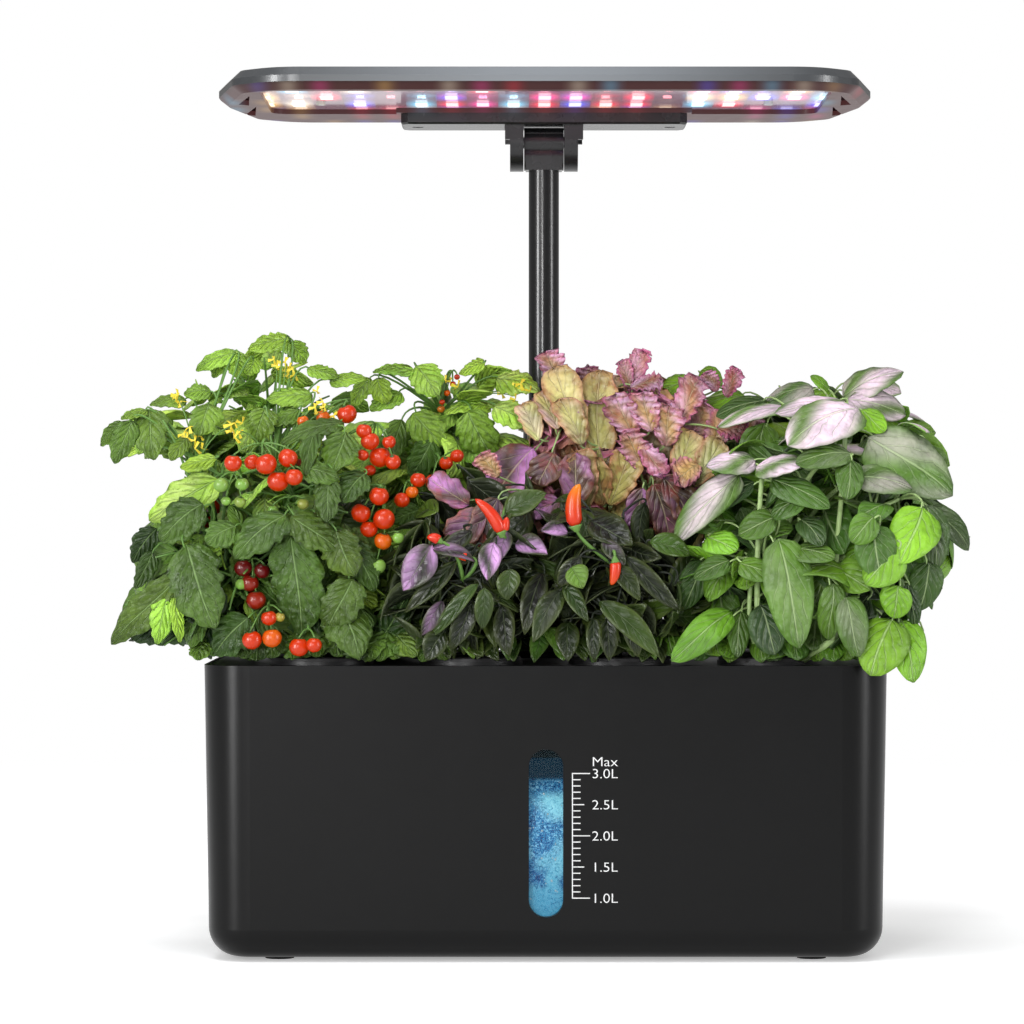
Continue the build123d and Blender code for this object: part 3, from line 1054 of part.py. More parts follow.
def make_impeller():
    front = PUMP_FRONT_Y + IMPELLER_GAP
    back = PUMP_FRONT_Y + CHAMBER_DEPTH - IMPELLER_GAP
    wheel = rod_y(HUB_R, front, back, PUMP_X, PUMP_AXIS_Z)
    wheel += rod_y(MAGNET_R, back - PAST, back + WELL_DEPTH - IMPELLER_GAP, PUMP_X, PUMP_AXIS_Z)
    blade = block((0, front + BLADE_STEP, -BLADE_HALF), (IMPELLER_R, back, BLADE_HALF))
    for turn in range(IMPELLER_BLADES):
        wheel += Pos(PUMP_X, 0, PUMP_AXIS_Z) * Rot(0, turn * 360 / IMPELLER_BLADES, 0) * blade
    return wheel - rod_y(SHAFT_R + SHAFT_FIT, front - PAST, back + WELL_DEPTH, PUMP_X, PUMP_AXIS_Z)


def make_hose():
    x, y = hose_place()
    return ring(HOSE_R, HOSE_BORE_R, PUMP_TOP, DECK_BOTTOM, x, y)


def make_hanger():
    x = PUMP_X + HANGER_X
    y = PUMP_FRONT_Y + PUMP_DEPTH / 2
    half = HANGER_WIDTH / 2
    hanger = block((x - half, y - HANGER_THICKNESS / 2, PUMP_TOP),
                   (x + half, y + HANGER_THICKNESS / 2, DECK_BOTTOM))
    for low in (PUMP_TOP, DECK_BOTTOM - HANGER_PAD):
        hanger += block((x - half, y - half, low), (x + half, y + half, low + HANGER_PAD))
    return hanger


# ---------------------------------------------------------------- build
def main():
    os.makedirs("parts", exist_ok=True)
    window, gasket = make_window_and_gasket()
    save("tank_shell", make_tank(), BLACK)
    save("level_window", window, CLEAR)
    save("window_gasket", gasket, DARK)
    save("feet", make_feet(), DARK)

    save("grow_deck", make_deck(), BLACK)
    pot, sponge = make_pot(), make_sponge()
    for number, (x, y) in enumerate(pods(), start=1):
        save("net_pot_%d" % number, Pos(x, y, 0) * pot, DARK)
    save("grow_sponges", Compound([(Pos(x, y, 0) * sponge).solid() for x, y in pods()]), (0.8, 0.75, 0.65))
    for node, plant in PLANTS.items():
        save(node, make_plant(plant), GREEN)

    save("mast_socket", make_socket(), BLACK)
    save("mast_lock_nut", make_socket_nut(), DARK)
    inside = LOWER_TUBE_R - LOWER_TUBE_WALL
    save("mast_lower_tube", ring(LOWER_TUBE_R, inside, LOWER_TUBE_BOTTOM, LOWER_TUBE_TOP, 0, MAST_Y), BLACK)
    save("mast_bush", make_bush(), DARK)
    inside = UPPER_TUBE_R - UPPER_TUBE_WALL
    save("mast_upper_tube", ring(UPPER_TUBE_R, inside, TUBE_BOTTOM, TUBE_TOP, 0, MAST_Y), BLACK)
    save("mast_guide", make_guide(), DARK)
    save("hinge_knuckle", make_knuckle(), BLACK)

    save("lamp_yoke", make_yoke(), BLACK)
    save("hinge_pin", make_pin(), STEEL)
    save("hinge_nut", make_pin_nut(), STEEL)
    save("lamp_cover", make_cover(), BLACK)
    save("lamp_bezel", make_bezel(), BLACK)
    save("lamp_lens", make_lens(), CLEAR)
    save("lens_clips", make_clips(), CLEAR)
    save("led_board", make_led_board(), (0.9, 0.9, 0.9))
    save("led_chips", make_leds(), (1.0, 0.4, 0.6))
    save("driver_cover", make_driver_cover(), BLACK)
    save("driver_board", make_driver_board(), (0.1, 0.4, 0.2))
    save("lamp_screws", make_lamp_screws(), STEEL)

    save("control_housing", make_control_housing(), BLACK)
    save("control_board", make_control_board(), (0.1, 0.4, 0.2))
    save("control_screws", make_control_screws(), STEEL)
    save("status_light", make_status_light(), CLEAR)
    save("dc_jack", make_jack(), DARK)
    for node, (x, y) in zip(("power_button", "light_button", "pump_button"), button_places()):
        save(node, make_button(x, y), DARK)

    save("fill_lid", make_lid(), BLACK)
    save("fill_lid_pin", make_lid_pin(), STEEL)

    save("pump_hanger", make_hanger(), DARK)
    save("pump_body", make_pump_body(), DARK)
    save("pump_cover", make_pump_cover(), DARK)
    save("pump_filter", make_pump_filter(), (0.3, 0.3, 0.3))
    save("impeller_shaft", make_shaft(), STEEL)
    save("pump_impeller", make_impeller(), (0.8, 0.8, 0.8))
    save("pump_hose", make_hose(), (0.7, 0.75, 0.75))


main()
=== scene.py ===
import json
import math

import bpy
import numpy as np
from bpy.props import FloatProperty, FloatVectorProperty, IntProperty, PointerProperty
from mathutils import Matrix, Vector
from mathutils.bvhtree import BVHTree


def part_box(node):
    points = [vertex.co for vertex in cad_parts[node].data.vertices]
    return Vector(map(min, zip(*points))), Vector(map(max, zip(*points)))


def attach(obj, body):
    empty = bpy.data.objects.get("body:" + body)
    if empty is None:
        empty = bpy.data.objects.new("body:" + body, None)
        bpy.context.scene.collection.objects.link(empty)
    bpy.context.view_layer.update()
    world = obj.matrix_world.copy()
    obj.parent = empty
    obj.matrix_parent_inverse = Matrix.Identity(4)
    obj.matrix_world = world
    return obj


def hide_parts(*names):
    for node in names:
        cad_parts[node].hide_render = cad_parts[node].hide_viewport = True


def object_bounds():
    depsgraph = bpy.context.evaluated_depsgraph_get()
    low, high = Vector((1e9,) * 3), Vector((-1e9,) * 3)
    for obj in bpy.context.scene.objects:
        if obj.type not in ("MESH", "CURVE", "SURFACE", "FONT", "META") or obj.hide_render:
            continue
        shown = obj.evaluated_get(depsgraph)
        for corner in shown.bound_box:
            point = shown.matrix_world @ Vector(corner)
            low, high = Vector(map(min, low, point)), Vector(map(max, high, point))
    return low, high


bl_info = {
    "name": "Countertop Garden Looks",
    "version": (1, 0, 0),
    "blender": (4, 5, 0),
    "location": "View3D > Sidebar > Garden",
    "description": "Finishes, water, litre scale and plants of a countertop hydroponic garden",
    "category": "Object",
}

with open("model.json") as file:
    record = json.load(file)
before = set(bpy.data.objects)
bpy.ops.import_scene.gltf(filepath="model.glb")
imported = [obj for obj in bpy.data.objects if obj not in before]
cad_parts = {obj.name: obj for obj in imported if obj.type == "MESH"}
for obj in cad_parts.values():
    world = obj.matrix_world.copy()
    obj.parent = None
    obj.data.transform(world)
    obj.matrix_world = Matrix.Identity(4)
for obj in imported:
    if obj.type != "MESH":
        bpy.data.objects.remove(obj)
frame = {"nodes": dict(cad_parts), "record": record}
CAD_LOW, CAD_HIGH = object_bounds()

# ---------------------------------------------------------------- lengths in mm, and the view
MM = 0.001
VIEW_X, VIEW_Y, VIEW_Z = -13.9, -1678.0, 184.4     # where the camera stands
VIEW_FOCAL = 3919.0                                # focal length in pixels of the picture
PICTURE = 1024                                     # pixels on a side
SENSOR = 36.0


def colour(red, green, blue):
    """A screen colour of 0 to 255 as scene-linear numbers."""
    def channel(value):
        value /= 255
        return value / 12.92 if value <= 0.04045 else ((value + 0.055) / 1.055) ** 2.4
    return channel(red), channel(green), channel(blue)


def box_mm(node):
    low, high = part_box(node)
    return np.array(low) / MM, np.array(high) / MM


def seen(across, down, depth):
    """The point at a depth y that shows at (across, down) of the picture."""
    scale = (depth - VIEW_Y) / VIEW_FOCAL
    return np.array((VIEW_X + (across - PICTURE / 2) * scale, depth, VIEW_Z - (down - PICTURE / 2) * scale))


def on_picture(points):
    """Where points show in the picture: across and down."""
    scale = (points[:, 1] - VIEW_Y) / VIEW_FOCAL
    return PICTURE / 2 + (points[:, 0] - VIEW_X) / scale, PICTURE / 2 - (points[:, 2] - VIEW_Z) / scale


def unit(vector):
    return vector / max(np.linalg.norm(vector), 1e-9)


def mix(a, b, share):
    """a to b by share; share may be an array with one value for each point."""
    share = np.asarray(share)[..., None] if np.ndim(share) else share
    return np.asarray(a) * (1 - share) + np.asarray(b) * share


UP = np.array((0.0, 0.0, 1.0))
POD_CLEAR, SOCKET_CLEAR = 1.2, 1.5                 # kept free of leaves round a pot and the mast's socket
TANK_LOW, TANK_HIGH = box_mm("tank_shell")
POT_TOP = box_mm("net_pot_1")[1][2]
PODS = [(*((low + high) / 2)[:2], (high[0] - low[0]) / 2 + POD_CLEAR)
        for low, high in (box_mm(f"net_pot_{n}") for n in range(1, 9))]
SOCKET_LOW, SOCKET_HIGH = box_mm("mast_socket")
SOCKET_R = (SOCKET_HIGH[0] - SOCKET_LOW[0]) / 2 + SOCKET_CLEAR
MAST_Y = sum(corner[1] for corner in box_mm("mast_lower_tube")) / 2
LID_LOW, LID_HIGH = box_mm("fill_lid")
CONTROL_LOW, CONTROL_HIGH = box_mm("control_housing")


# ---------------------------------------------------------------- settings
def amount_setting(name, description, value, unit="NONE"):
    return FloatProperty(name=name, description=description, default=value, min=0, unit=unit)


def length_setting(name, description, mm):
    return amount_setting(name, description, mm * MM, "LENGTH")


def colour_setting(name, description, rgb):
    return FloatVectorProperty(name=name, description=description, default=rgb, min=0, max=1,
                               subtype="COLOR")


def number_setting(name, description, value):
    return IntProperty(name=name, description=description, default=value, min=1)


class GardenStage(bpy.types.PropertyGroup):
    floor_colour: colour_setting("Floor colour", "Colour of the floor", (0.9, 0.9, 0.9))
    floor_near: length_setting("Floor fades from", "Distance at which the floor starts to fade", 750)
    floor_far: length_setting("Floor fades to", "Distance at which the floor is all white", 1250)
    sky: amount_setting("Sky", "Level of the light from all round", 0.62)
    mirrored: amount_setting("Mirrored sky", "Level of the sky as seen in reflections", 0.38)
    key: amount_setting("Key lamp", "Power of the lamps at the front left", 30, "POWER")
    top: amount_setting("Top lamp", "Power of the lamp overhead", 15, "POWER")
    side: amount_setting("Side lamps", "Power of each tall lamp at a side", 7, "POWER")


class GardenShell(bpy.types.PropertyGroup):
    tank_colour: colour_setting("Tank colour", "Colour of the tank's plastic", (0.0032, 0.0032, 0.0033))
    print_colour: colour_setting("Print colour", "Colour of the litre scale", (0.86, 0.86, 0.86))
    line: length_setting("Line", "Width of a line of the scale", 0.42)
    letter: length_setting("Letter height", "Height of a numeral", 3.9)
    full_level: length_setting("Full level", "Height of the 3 litre line above the table", 77.6)
    low_level: length_setting("Low level", "Height of the 1 litre line above the table", 26.6)
    water_level: length_setting("Water level", "Height of the water above the table", 75.2)


class GardenLamp(bpy.types.PropertyGroup):
    chip_glow: amount_setting("Chip glow", "Strength of a light chip", 9.0)
    lens_glow: amount_setting("Lens glow", "Strength of the haze in the lens", 1.7)
    board_glow: amount_setting("Board glow", "Strength of the glow round the chips", 2.2)
    column_pitch: length_setting("Column pitch", "From one chip to the next along a row", 13.2)
    row_pitch: length_setting("Row pitch", "From one row of chips to the next", 28)


class GardenPlants(bpy.types.PropertyGroup):
    seed: number_setting("Seed", "Starts the random draws of the plants", 11)
    tomato_leaves: number_setting("Tomato leaves", "Leaves that fill out a tomato plant", 84)
    basil_leaves: number_setting("Basil leaves", "Leaves that fill out a basil plant", 210)
    pepper_leaves: number_setting("Pepper leaves", "Leaves that fill out a pepper plant", 170)
    lettuce_leaves: number_setting("Lettuce leaves", "Leaves of the lettuce head", 58)
    thickness: length_setting("Leaf thickness", "Thickness of a leaf", 0.45)


# ---------------------------------------------------------------- shader maths
class Signal:
    """An output socket in a finish, for use in Python arithmetic."""

    def __init__(self, finish, socket):
        self.finish = finish
        self.socket = socket

    def maths(self, operation, *values):
        return self.finish.add("ShaderNodeMath", {"operation": operation}, dict(enumerate((self, *values))))

    def __add__(self, other):
        return self.maths("ADD", other)

    def __mul__(self, other):
        return self.maths("MULTIPLY", other)

    def __sub__(self, other):
        return self.maths("SUBTRACT", other)

    def __rsub__(self, other):
        return (self * -1) + other

    def __truediv__(self, other):
        return self.maths("DIVIDE", other)

    def __pow__(self, other):
        return self.maths("POWER", other)

    __radd__ = __add__
    __rmul__ = __mul__

    def between(self, low, high):
        """0 at low, 1 at high, smooth and clamped."""
        inputs = {"Value": self, "From Min": low, "From Max": high}
        return self.finish.add("ShaderNodeMapRange", {"interpolation_type": "SMOOTHSTEP"}, inputs)


class Finish:
    """A procedural material while it is put together."""

    def __init__(self, name, **sockets):
        self.material = bpy.data.materials.new(name)
        self.material.use_nodes = True
        self.tree = self.material.node_tree
        self.shader = self.tree.nodes["Principled BSDF"]
        self.set(**sockets)

    def feed(self, socket, value):
        if isinstance(value, Signal):
            self.tree.links.new(value.socket, socket)
        elif socket.type == "RGBA" and len(value) == 3:
            socket.default_value = (*value, 1)
        else:
            socket.default_value = value

    def add(self, kind, settings=None, inputs=None, output=0):
        """A node of any kind: its settings, then its inputs by name or number. Gives one output."""
        node = self.tree.nodes.new(kind)
        for key, value in (settings or {}).items():
            if key == "stops":
                ramp = node.color_ramp.elements
                while len(ramp) < len(value):
                    ramp.new(1)
                for stop, (place, shade) in zip(ramp, value):
                    stop.position = place
                    stop.color = (*shade, 1)
            elif key == "steps":
                node.color_ramp.interpolation = value
            else:
                setattr(node, key, value)
        for key, value in (inputs or {}).items():
            self.feed(node.inputs[key], value)
        return Signal(self, node.outputs[output])

    def set(self, **sockets):
        """Principled inputs, with _ for a space in a name."""
        for key, value in sockets.items():
            self.feed(self.shader.inputs[key.replace("_", " ")], value)
        return self

    def place(self, output="Object"):
        return self.add("ShaderNodeTexCoord", output=output)

    def axis(self, vector, name):
        return self.add("ShaderNodeSeparateXYZ", inputs={0: vector}, output=name)

    def attribute(self, name, output="Color"):
        return self.add("ShaderNodeAttribute", {"attribute_name": name}, output=output)

    def noise(self, scale, detail=2.0, vector=None, distortion=0.0):
        inputs = {"Vector": vector or self.place(), "Scale": scale, "Detail": detail,
                  "Distortion": distortion}
        return self.add("ShaderNodeTexNoise", {}, inputs)

    def ramp(self, factor, stops, steps="LINEAR"):
        return self.add("ShaderNodeValToRGB", {"stops": stops, "steps": steps}, {0: factor})

    def blend(self, a, b, factor, how="MIX"):
        """Colour a to colour b by factor."""
        settings = {"data_type": "RGBA", "blend_type": how}
        return self.add("ShaderNodeMix", settings, {0: factor, 6: a, 7: b}, output=2)

    def bump(self, height, distance, strength=1.0):
        inputs = {"Height": height, "Distance": distance, "Strength": strength}
        return self.set(Normal=self.add("ShaderNodeBump", {}, inputs))


# ---------------------------------------------------------------- finishes of the hard parts
def moulded(name, shade, roughness, specular=0.5, grain=0.25, coat=0.0):
    """Moulded plastic with a fine spark-eroded grain and slightly uneven gloss."""
    finish = Finish(name, Specular_IOR_Level=specular, Coat_Weight=coat, Coat_Roughness=0.08)
    cloud = finish.noise(9, 3)
    dust = finish.noise(160, 2)
    base = finish.blend(shade, [min(1, c * 1.35 + 0.001) for c in shade], cloud)
    finish.set(Base_Color=base, Roughness=roughness + (cloud - 0.5) * 0.06 + (dust - 0.5) * 0.05)
    return finish.bump(finish.noise(2600, 1), 0.02 * MM, grain).material


def clear(name, shade, see_through, roughness=0.05):
    """Clear moulded plastic, a little less clear where it is scuffed."""
    finish = Finish(name, Roughness=roughness, IOR=1.49)
    scuffs = finish.noise(60, 4)
    finish.set(Base_Color=shade, Alpha=(1 - see_through) + (scuffs - 0.5) * 0.06)
    return finish.bump(finish.noise(25, 1), 0.05 * MM, 0.2).material


def sponge(name):
    finish = Finish(name, Specular_IOR_Level=0.1)
    cells = finish.add("ShaderNodeTexVoronoi", {}, {"Vector": finish.place(), "Scale": 900.0})
    fibres = finish.noise(420, 6)
    shade = finish.ramp(fibres, [(0.3, colour(104, 84, 74)), (0.55, colour(150, 132, 122)),
                                 (0.75, colour(188, 172, 160))])
    finish.set(Base_Color=shade, Roughness=0.85 + fibres * 0.1)
    return finish.bump(cells + fibres, 0.5 * MM, 0.8).material


def brushed_steel(name):
    finish = Finish(name, Metallic=1.0)
    lines = finish.noise(1400, 2, finish.add("ShaderNodeVectorMath", {"operation": "MULTIPLY"},
                                             {0: finish.place(), 1: (0.05, 1, 1)}))
    finish.set(Base_Color=finish.blend(colour(168, 168, 172), colour(206, 206, 210), lines),
               Roughness=0.22 + lines * 0.16)
    return finish.bump(lines, 0.01 * MM, 0.3).material


def circuit_board(name):
    finish = Finish(name, Specular_IOR_Level=0.5)
    inputs = {"Vector": finish.place(), "Scale": 260.0, "Mortar Size": 0.03,
              "Color1": (0.01, 0.11, 0.05, 1), "Color2": (0.012, 0.15, 0.06, 1),
              "Mortar": (0.03, 0.26, 0.12, 1)}
    tracks = finish.add("ShaderNodeTexBrick", {"offset": 0.5}, inputs)
    finish.set(Base_Color=tracks, Roughness=0.35 + finish.noise(80) * 0.15)
    return finish.material


def foam(name):
    finish = Finish(name, Specular_IOR_Level=0.1)
    cells = finish.add("ShaderNodeTexVoronoi", {}, {"Vector": finish.place(), "Scale": 650.0})
    finish.set(Base_Color=finish.blend((0.008, 0.008, 0.009), (0.06, 0.06, 0.062), cells), Roughness=0.9)
    return finish.bump(cells, 0.6 * MM).material


# The lamp: reaches along X and Y, in mm, of what each chip lights up
PATCH_X, PATCH_Y = (2.2, 3.0), (5.5, 8.5)          # its image in the lens fades between these
HALO_X, HALO_Y = 5.0, 9.5                          # in the lens
SPILL_X, SPILL_Y = 3.6, 12.0                       # painted on the frame's underside as their light
GLOW_X, GLOW_Y = 6.0, 8.0                          # on the board
UNLIT_SHARE = 0.36                                 # of the chips that show no patch
LENS_HAZE = (0.085, 0.046, 0.066)
# glow painted on the frame's underside in place of the chips' light
BEZEL_PAINTED_GLOW = (0.062, 0.020, 0.020)
BEZEL_LIT = (1.5, 5.0)                             # heights on the frame between which the painted glow ends
COVER_PAINTED_SHEEN = 92.0                                 # reach along the cover of the sheen, a highlight painted into its colour
COVER_SLOPE = (14, 22)                             # how far back from its front edge the painted sheen ends


def chip_colour(finish, lamp):
    """For each place on the board: the nearest chip's colour, 1 if it is lit, and the squares of the
    distances to it along X and Y."""
    low, high = box_mm("led_chips")
    middle = (low + high) / 2 * MM
    where = finish.place()
    cells, squares = [], []
    for axis, start, pitch in (("X", middle[0], lamp.column_pitch), ("Y", middle[1], lamp.row_pitch)):
        along = (finish.axis(where, axis) - start) / pitch
        cell = along.maths("ROUND")
        cells.append(cell)
        squares.append(((along - cell) * pitch) ** 2)
    cell = finish.add("ShaderNodeCombineXYZ", {}, {0: cells[0], 1: cells[1]})
    draw = finish.add("ShaderNodeTexWhiteNoise", {"noise_dimensions": "3D"}, {"Vector": cell})
    red, rose, warm = (1.0, 0.03, 0.08), (1.0, 0.05, 0.36), (1.0, 0.60, 0.18)
    blue, ice, white = (0.10, 0.14, 1.0), (0.20, 0.70, 1.0), (1.0, 0.86, 0.66)
    stops = [(0, red), (0.44, warm), (0.57, rose), (0.66, blue), (0.74, ice), (0.84, white), (0.94, red)]
    lit = draw.between(UNLIT_SHARE, UNLIT_SHARE + 0.005)
    return finish.ramp(draw, stops, "CONSTANT"), lit, squares[0], squares[1]


def spot(x_square, y_square, x_reach, y_reach):
    """1 at a chip, falling off over a reach along X and one along Y."""
    return (x_square * (-1 / x_reach ** 2) + y_square * (-1 / y_reach ** 2)).maths("EXPONENT")


def light_lens(name, lamp):
    """The clear cover: each lit chip shows in it as a pale patch in a haze of its colour."""
    finish = Finish(name, Roughness=0.1, IOR=1.49)
    shade, lit, x_square, y_square = chip_colour(finish, lamp)
    patch = (1 - x_square.between(*((edge * MM) ** 2 for edge in PATCH_X))) * lit
    patch = patch * (1 - y_square.between(*((edge * MM) ** 2 for edge in PATCH_Y)))
    halo = spot(x_square, y_square, HALO_X * MM, HALO_Y * MM) * lit
    haze = finish.blend(LENS_HAZE, shade, halo)
    glow = finish.blend(haze, finish.blend(shade, (1, 0.95, 0.92), 0.55), patch)
    finish.set(Base_Color=(0.3, 0.3, 0.3), Emission_Color=glow, Emission_Strength=lamp.lens_glow,
               Alpha=0.62 + patch * 0.3)
    return finish.material


def lit_bezel(name, lamp):
    """The lamp's frame: black, with a painted glow underneath: emission that stands in for the light of the
    chips beside it.
    """
    finish = Finish(name, Specular_IOR_Level=0.15)
    shade, lit, x_square, y_square = chip_colour(finish, lamp)
    spill = spot(x_square, y_square, SPILL_X * MM, SPILL_Y * MM) * lit
    height = (finish.axis(finish.place(), "Z") - box_mm(name)[0][2] * MM) / MM
    under = 1 - height.between(*BEZEL_LIT)
    # tint is painted light: the chips' glow painted on the frame as emission
    tint = finish.blend(BEZEL_PAINTED_GLOW, shade, spill * 0.16)
    grain = finish.noise(160, 2)
    finish.set(Base_Color=finish.blend((0.010, 0.010, 0.011), (0.016, 0.015, 0.016), grain),
               Roughness=0.36 + grain * 0.08, Emission_Color=finish.blend((0, 0, 0), tint, under),
               Emission_Strength=1.0)
    return finish.material


def satin_cover(name):
    """The lamp's cover: black, with a painted highlight: a pale sheen painted into its colour along the
    middle of its front slope.
    """
    finish = Finish(name, Specular_IOR_Level=0.42, Coat_Weight=0.12, Coat_Roughness=0.08)
    where = finish.place()
    front_edge = box_mm(name)[0][1]
    across = finish.axis(where, "X") / MM
    sheen = (across * across * (-1 / COVER_PAINTED_SHEEN ** 2)).maths("EXPONENT")
    front = 1 - (finish.axis(where, "Y") / MM).between(*(front_edge + back for back in COVER_SLOPE))
    grain = finish.noise(160, 2)
    # the pale colour is the painted sheen: a highlight painted into the base colour
    finish.set(Base_Color=finish.blend((0.012, 0.0122, 0.0132), (0.20, 0.216, 0.235), sheen * front * 0.95),
               Roughness=0.30 + grain * 0.06)
    return finish.bump(finish.noise(2600, 1), 0.02 * MM, 0.12).material


def light_chip(name, lamp):
    finish = Finish(name, Roughness=0.3)
    glow = finish.blend(chip_colour(finish, lamp)[0], (1, 1, 1), 0.25)
    finish.set(Base_Color=glow, Emission_Color=glow, Emission_Strength=lamp.chip_glow)
    return finish.material


def light_board(name, lamp):
    finish = Finish(name, Roughness=0.55, Specular_IOR_Level=0.3)
    shade, lit, x_square, y_square = chip_colour(finish, lamp)
    halo = spot(x_square, y_square, GLOW_X * MM, GLOW_Y * MM) * lit
    tracks = finish.noise(70, 3).between(0.48, 0.52)
    finish.set(Base_Color=finish.blend(colour(112, 100, 108), colour(132, 120, 128), tracks),
               Emission_Color=finish.blend((0.03, 0.01, 0.025), shade, halo),
               Emission_Strength=lamp.board_glow)
    return finish.material


def hard_finishes(scene):
    """The finish of each material slot that a CAD piece carries."""
    lamp = scene.garden_lamp
    return {
        "shell_black": moulded("shell_black", tuple(scene.garden_shell.tank_colour), 0.30, 0.15),
        "deck_black": moulded("deck_black", (0.014, 0.014, 0.015), 0.42, 0.35),
        "clear_window": clear("clear_window", colour(60, 84, 92), 0.92),
        "seal_rubber": moulded("seal_rubber", (0.012, 0.012, 0.012), 0.75, 0.3, 0.6),
        "sponge": sponge("sponge"),
        "mast_paint": moulded("mast_paint", (0.006, 0.006, 0.0065), 0.26, 0.3, 0.05, 0.12),
        "basket_plastic": moulded("basket_plastic", (0.030, 0.029, 0.030), 0.5, 0.35),
        "circuit_board": circuit_board("circuit_board"),
        "screw_steel": brushed_steel("screw_steel"),
        "light_pipe": clear("light_pipe", colour(220, 240, 225), 0.5),
        "filter_foam": foam("filter_foam"),
        "hose_clear": clear("hose_clear", colour(212, 220, 222), 0.45, 0.25),
        "button_plastic": moulded("button_plastic", (0.055, 0.055, 0.06), 0.4),
        "impeller_plastic": moulded("impeller_plastic", (0.55, 0.55, 0.54), 0.35),
        "lamp_black": moulded("lamp_black", (0.012, 0.0122, 0.0132), 0.27, 0.42, 0.12),
        "led_board_white": light_board("led_board_white", lamp),
        "led_chip": light_chip("led_chip", lamp),
    }


# ---------------------------------------------------------------- finishes of leaves, fruit and water
def leaf_finish(name, veins, vein_shade, relief, gloss, slant=0.42, mottle=0.55, rib_share=0.45,
                sheen=0.45, blotch=None):
    """A leaf: its own colour from leaf_tint, puckered, mottled and with a midrib and slanted side veins."""
    finish = Finish(name, Specular_IOR_Level=sheen)
    place = finish.attribute("leaf_map", "Vector")
    across = ((finish.axis(place, "X") - 0.5) * 2).maths("ABSOLUTE")
    along = finish.axis(place, "Y")
    wobble = (finish.noise(120, 2) - 0.5) * 0.24
    phase = ((along - across * slant + wobble) * veins).maths("FRACT")
    from_vein = (phase - 0.5).maths("ABSOLUTE")
    side_vein = 1 - from_vein.between(0.02, 0.10)
    inside = 1 - across.between(0.55, 0.95)
    midrib = 1 - across.between(0.02, 0.075)
    rib = (side_vein * inside * 0.5).maths("MAXIMUM", midrib)
    cells = finish.add("ShaderNodeTexVoronoi", {"feature": "SMOOTH_F1"},
                       {"Vector": finish.place(), "Scale": 330.0})
    net = finish.noise(800, 3)
    cloud = finish.noise(60, 3).between(0.32, 0.68)
    tint = finish.attribute("leaf_tint")
    if blotch:
        tint = finish.blend(tint, blotch, finish.noise(150, 3).between(0.52, 0.66) * 0.5)
    low = finish.blend(tint, (1 - mottle, 1 - mottle * 0.92, 1 - mottle), 1, "MULTIPLY")
    high = finish.blend(tint, (1 + mottle * 0.5, 1 + mottle * 0.5, 1 + mottle * 0.4), 1, "MULTIPLY")
    shaded = finish.blend(low, high, cloud * 0.55 + cells * 0.3 + net * 0.25)
    veined = finish.blend(shaded, vein_shade, rib * rib_share)
    finish.set(Base_Color=veined, Roughness=gloss + net * 0.14 + cloud * 0.08)
    return finish.bump(cells * -0.9 + from_vein * inside * 0.7 - rib * 0.6 + net * 0.3, relief, 0.9).material


def stalk_finish(name):
    finish = Finish(name, Specular_IOR_Level=0.35)
    tint = finish.attribute("leaf_tint")
    streaks = finish.noise(350, 3)
    finish.set(Base_Color=finish.blend(tint, (0.03, 0.07, 0.015), streaks.between(0.45, 0.8) * 0.4),
               Roughness=0.45 + streaks * 0.15)
    return finish.bump(streaks, 0.15 * MM, 0.5).material


def fruit_finish(name):
    """Tight glossy skin with a faint paler mottle."""
    finish = Finish(name, Specular_IOR_Level=0.36, Coat_Roughness=0.05, Coat_Weight=0.05)
    tint = finish.attribute("leaf_tint")
    mottle = finish.noise(230, 4)
    finish.set(Base_Color=finish.blend(tint, finish.blend(tint, (1.0, 1.5, 0.6), 1, "MULTIPLY"),
                                       mottle.between(0.45, 0.8) * 0.7),
               Roughness=0.26 + mottle * 0.1)
    return finish.bump(finish.noise(120, 2), 0.15 * MM, 0.3).material


def petal_finish(name):
    finish = Finish(name, Roughness=0.5, Specular_IOR_Level=0.3)
    streaks = finish.noise(900, 2)
    finish.set(Base_Color=finish.blend(colour(246, 214, 20), colour(252, 238, 96), streaks))
    return finish.bump(streaks, 0.1 * MM, 0.4).material


def water_finish(name, surface):
    """Moving water: pale clear patches between swarms of small dark and bright bubbles. It also glows in its
    own colour, as painted light.
    """
    finish = Finish(name, Roughness=0.12, IOR=1.33, Emission_Strength=0.26)
    place = finish.place()
    patch = finish.noise(42, 1.5, place, 0.8).between(0.42, 0.58)
    swirl = finish.noise(520, 3, place, 2.6)
    fine = finish.noise(1200, 2, place, 1.5)
    swarm = finish.ramp(swirl * 0.65 + fine * 0.35, [
        (0.32, colour(6, 30, 66)), (0.44, colour(20, 84, 146)), (0.53, colour(52, 142, 196)),
        (0.64, colour(150, 215, 238))])
    calm = finish.ramp(swirl, [(0.28, colour(54, 134, 176)), (0.42, colour(120, 204, 228)),
                               (0.6, colour(152, 224, 240))])
    depth = (surface - finish.axis(place, "Z")) / MM
    froth = 1 - depth.between(4, 9)
    still = patch * (1 - froth)
    shade = finish.blend(swarm, calm, still)
    deep = finish.blend(shade, colour(150, 190, 214), 1, "MULTIPLY")
    shade = finish.blend(shade, deep, depth.between(22, 52))
    rim = 1 - depth.between(0.3, 1.6)
    shade = finish.blend(shade, colour(12, 34, 52), rim * 0.8)
    # emission in the water's own colour: painted light
    finish.set(Base_Color=shade, Emission_Color=shade)
    return finish.bump(swirl, 0.3 * MM, 0.6).material


def print_finish(name, shade):
    """Pad print: solid ink with slightly uneven cover."""
    finish = Finish(name, Specular_IOR_Level=0.3)
    cover = finish.noise(1500, 3)
    thin = [channel * 0.92 for channel in shade]
    finish.set(Base_Color=finish.blend(thin, shade, cover), Roughness=0.45 + cover * 0.1)
    return finish.bump(cover, 0.01 * MM, 0.4).material


FLOOR_LIFT = 0.36          # glow of the floor where it is seen, so that its shadows stay faint


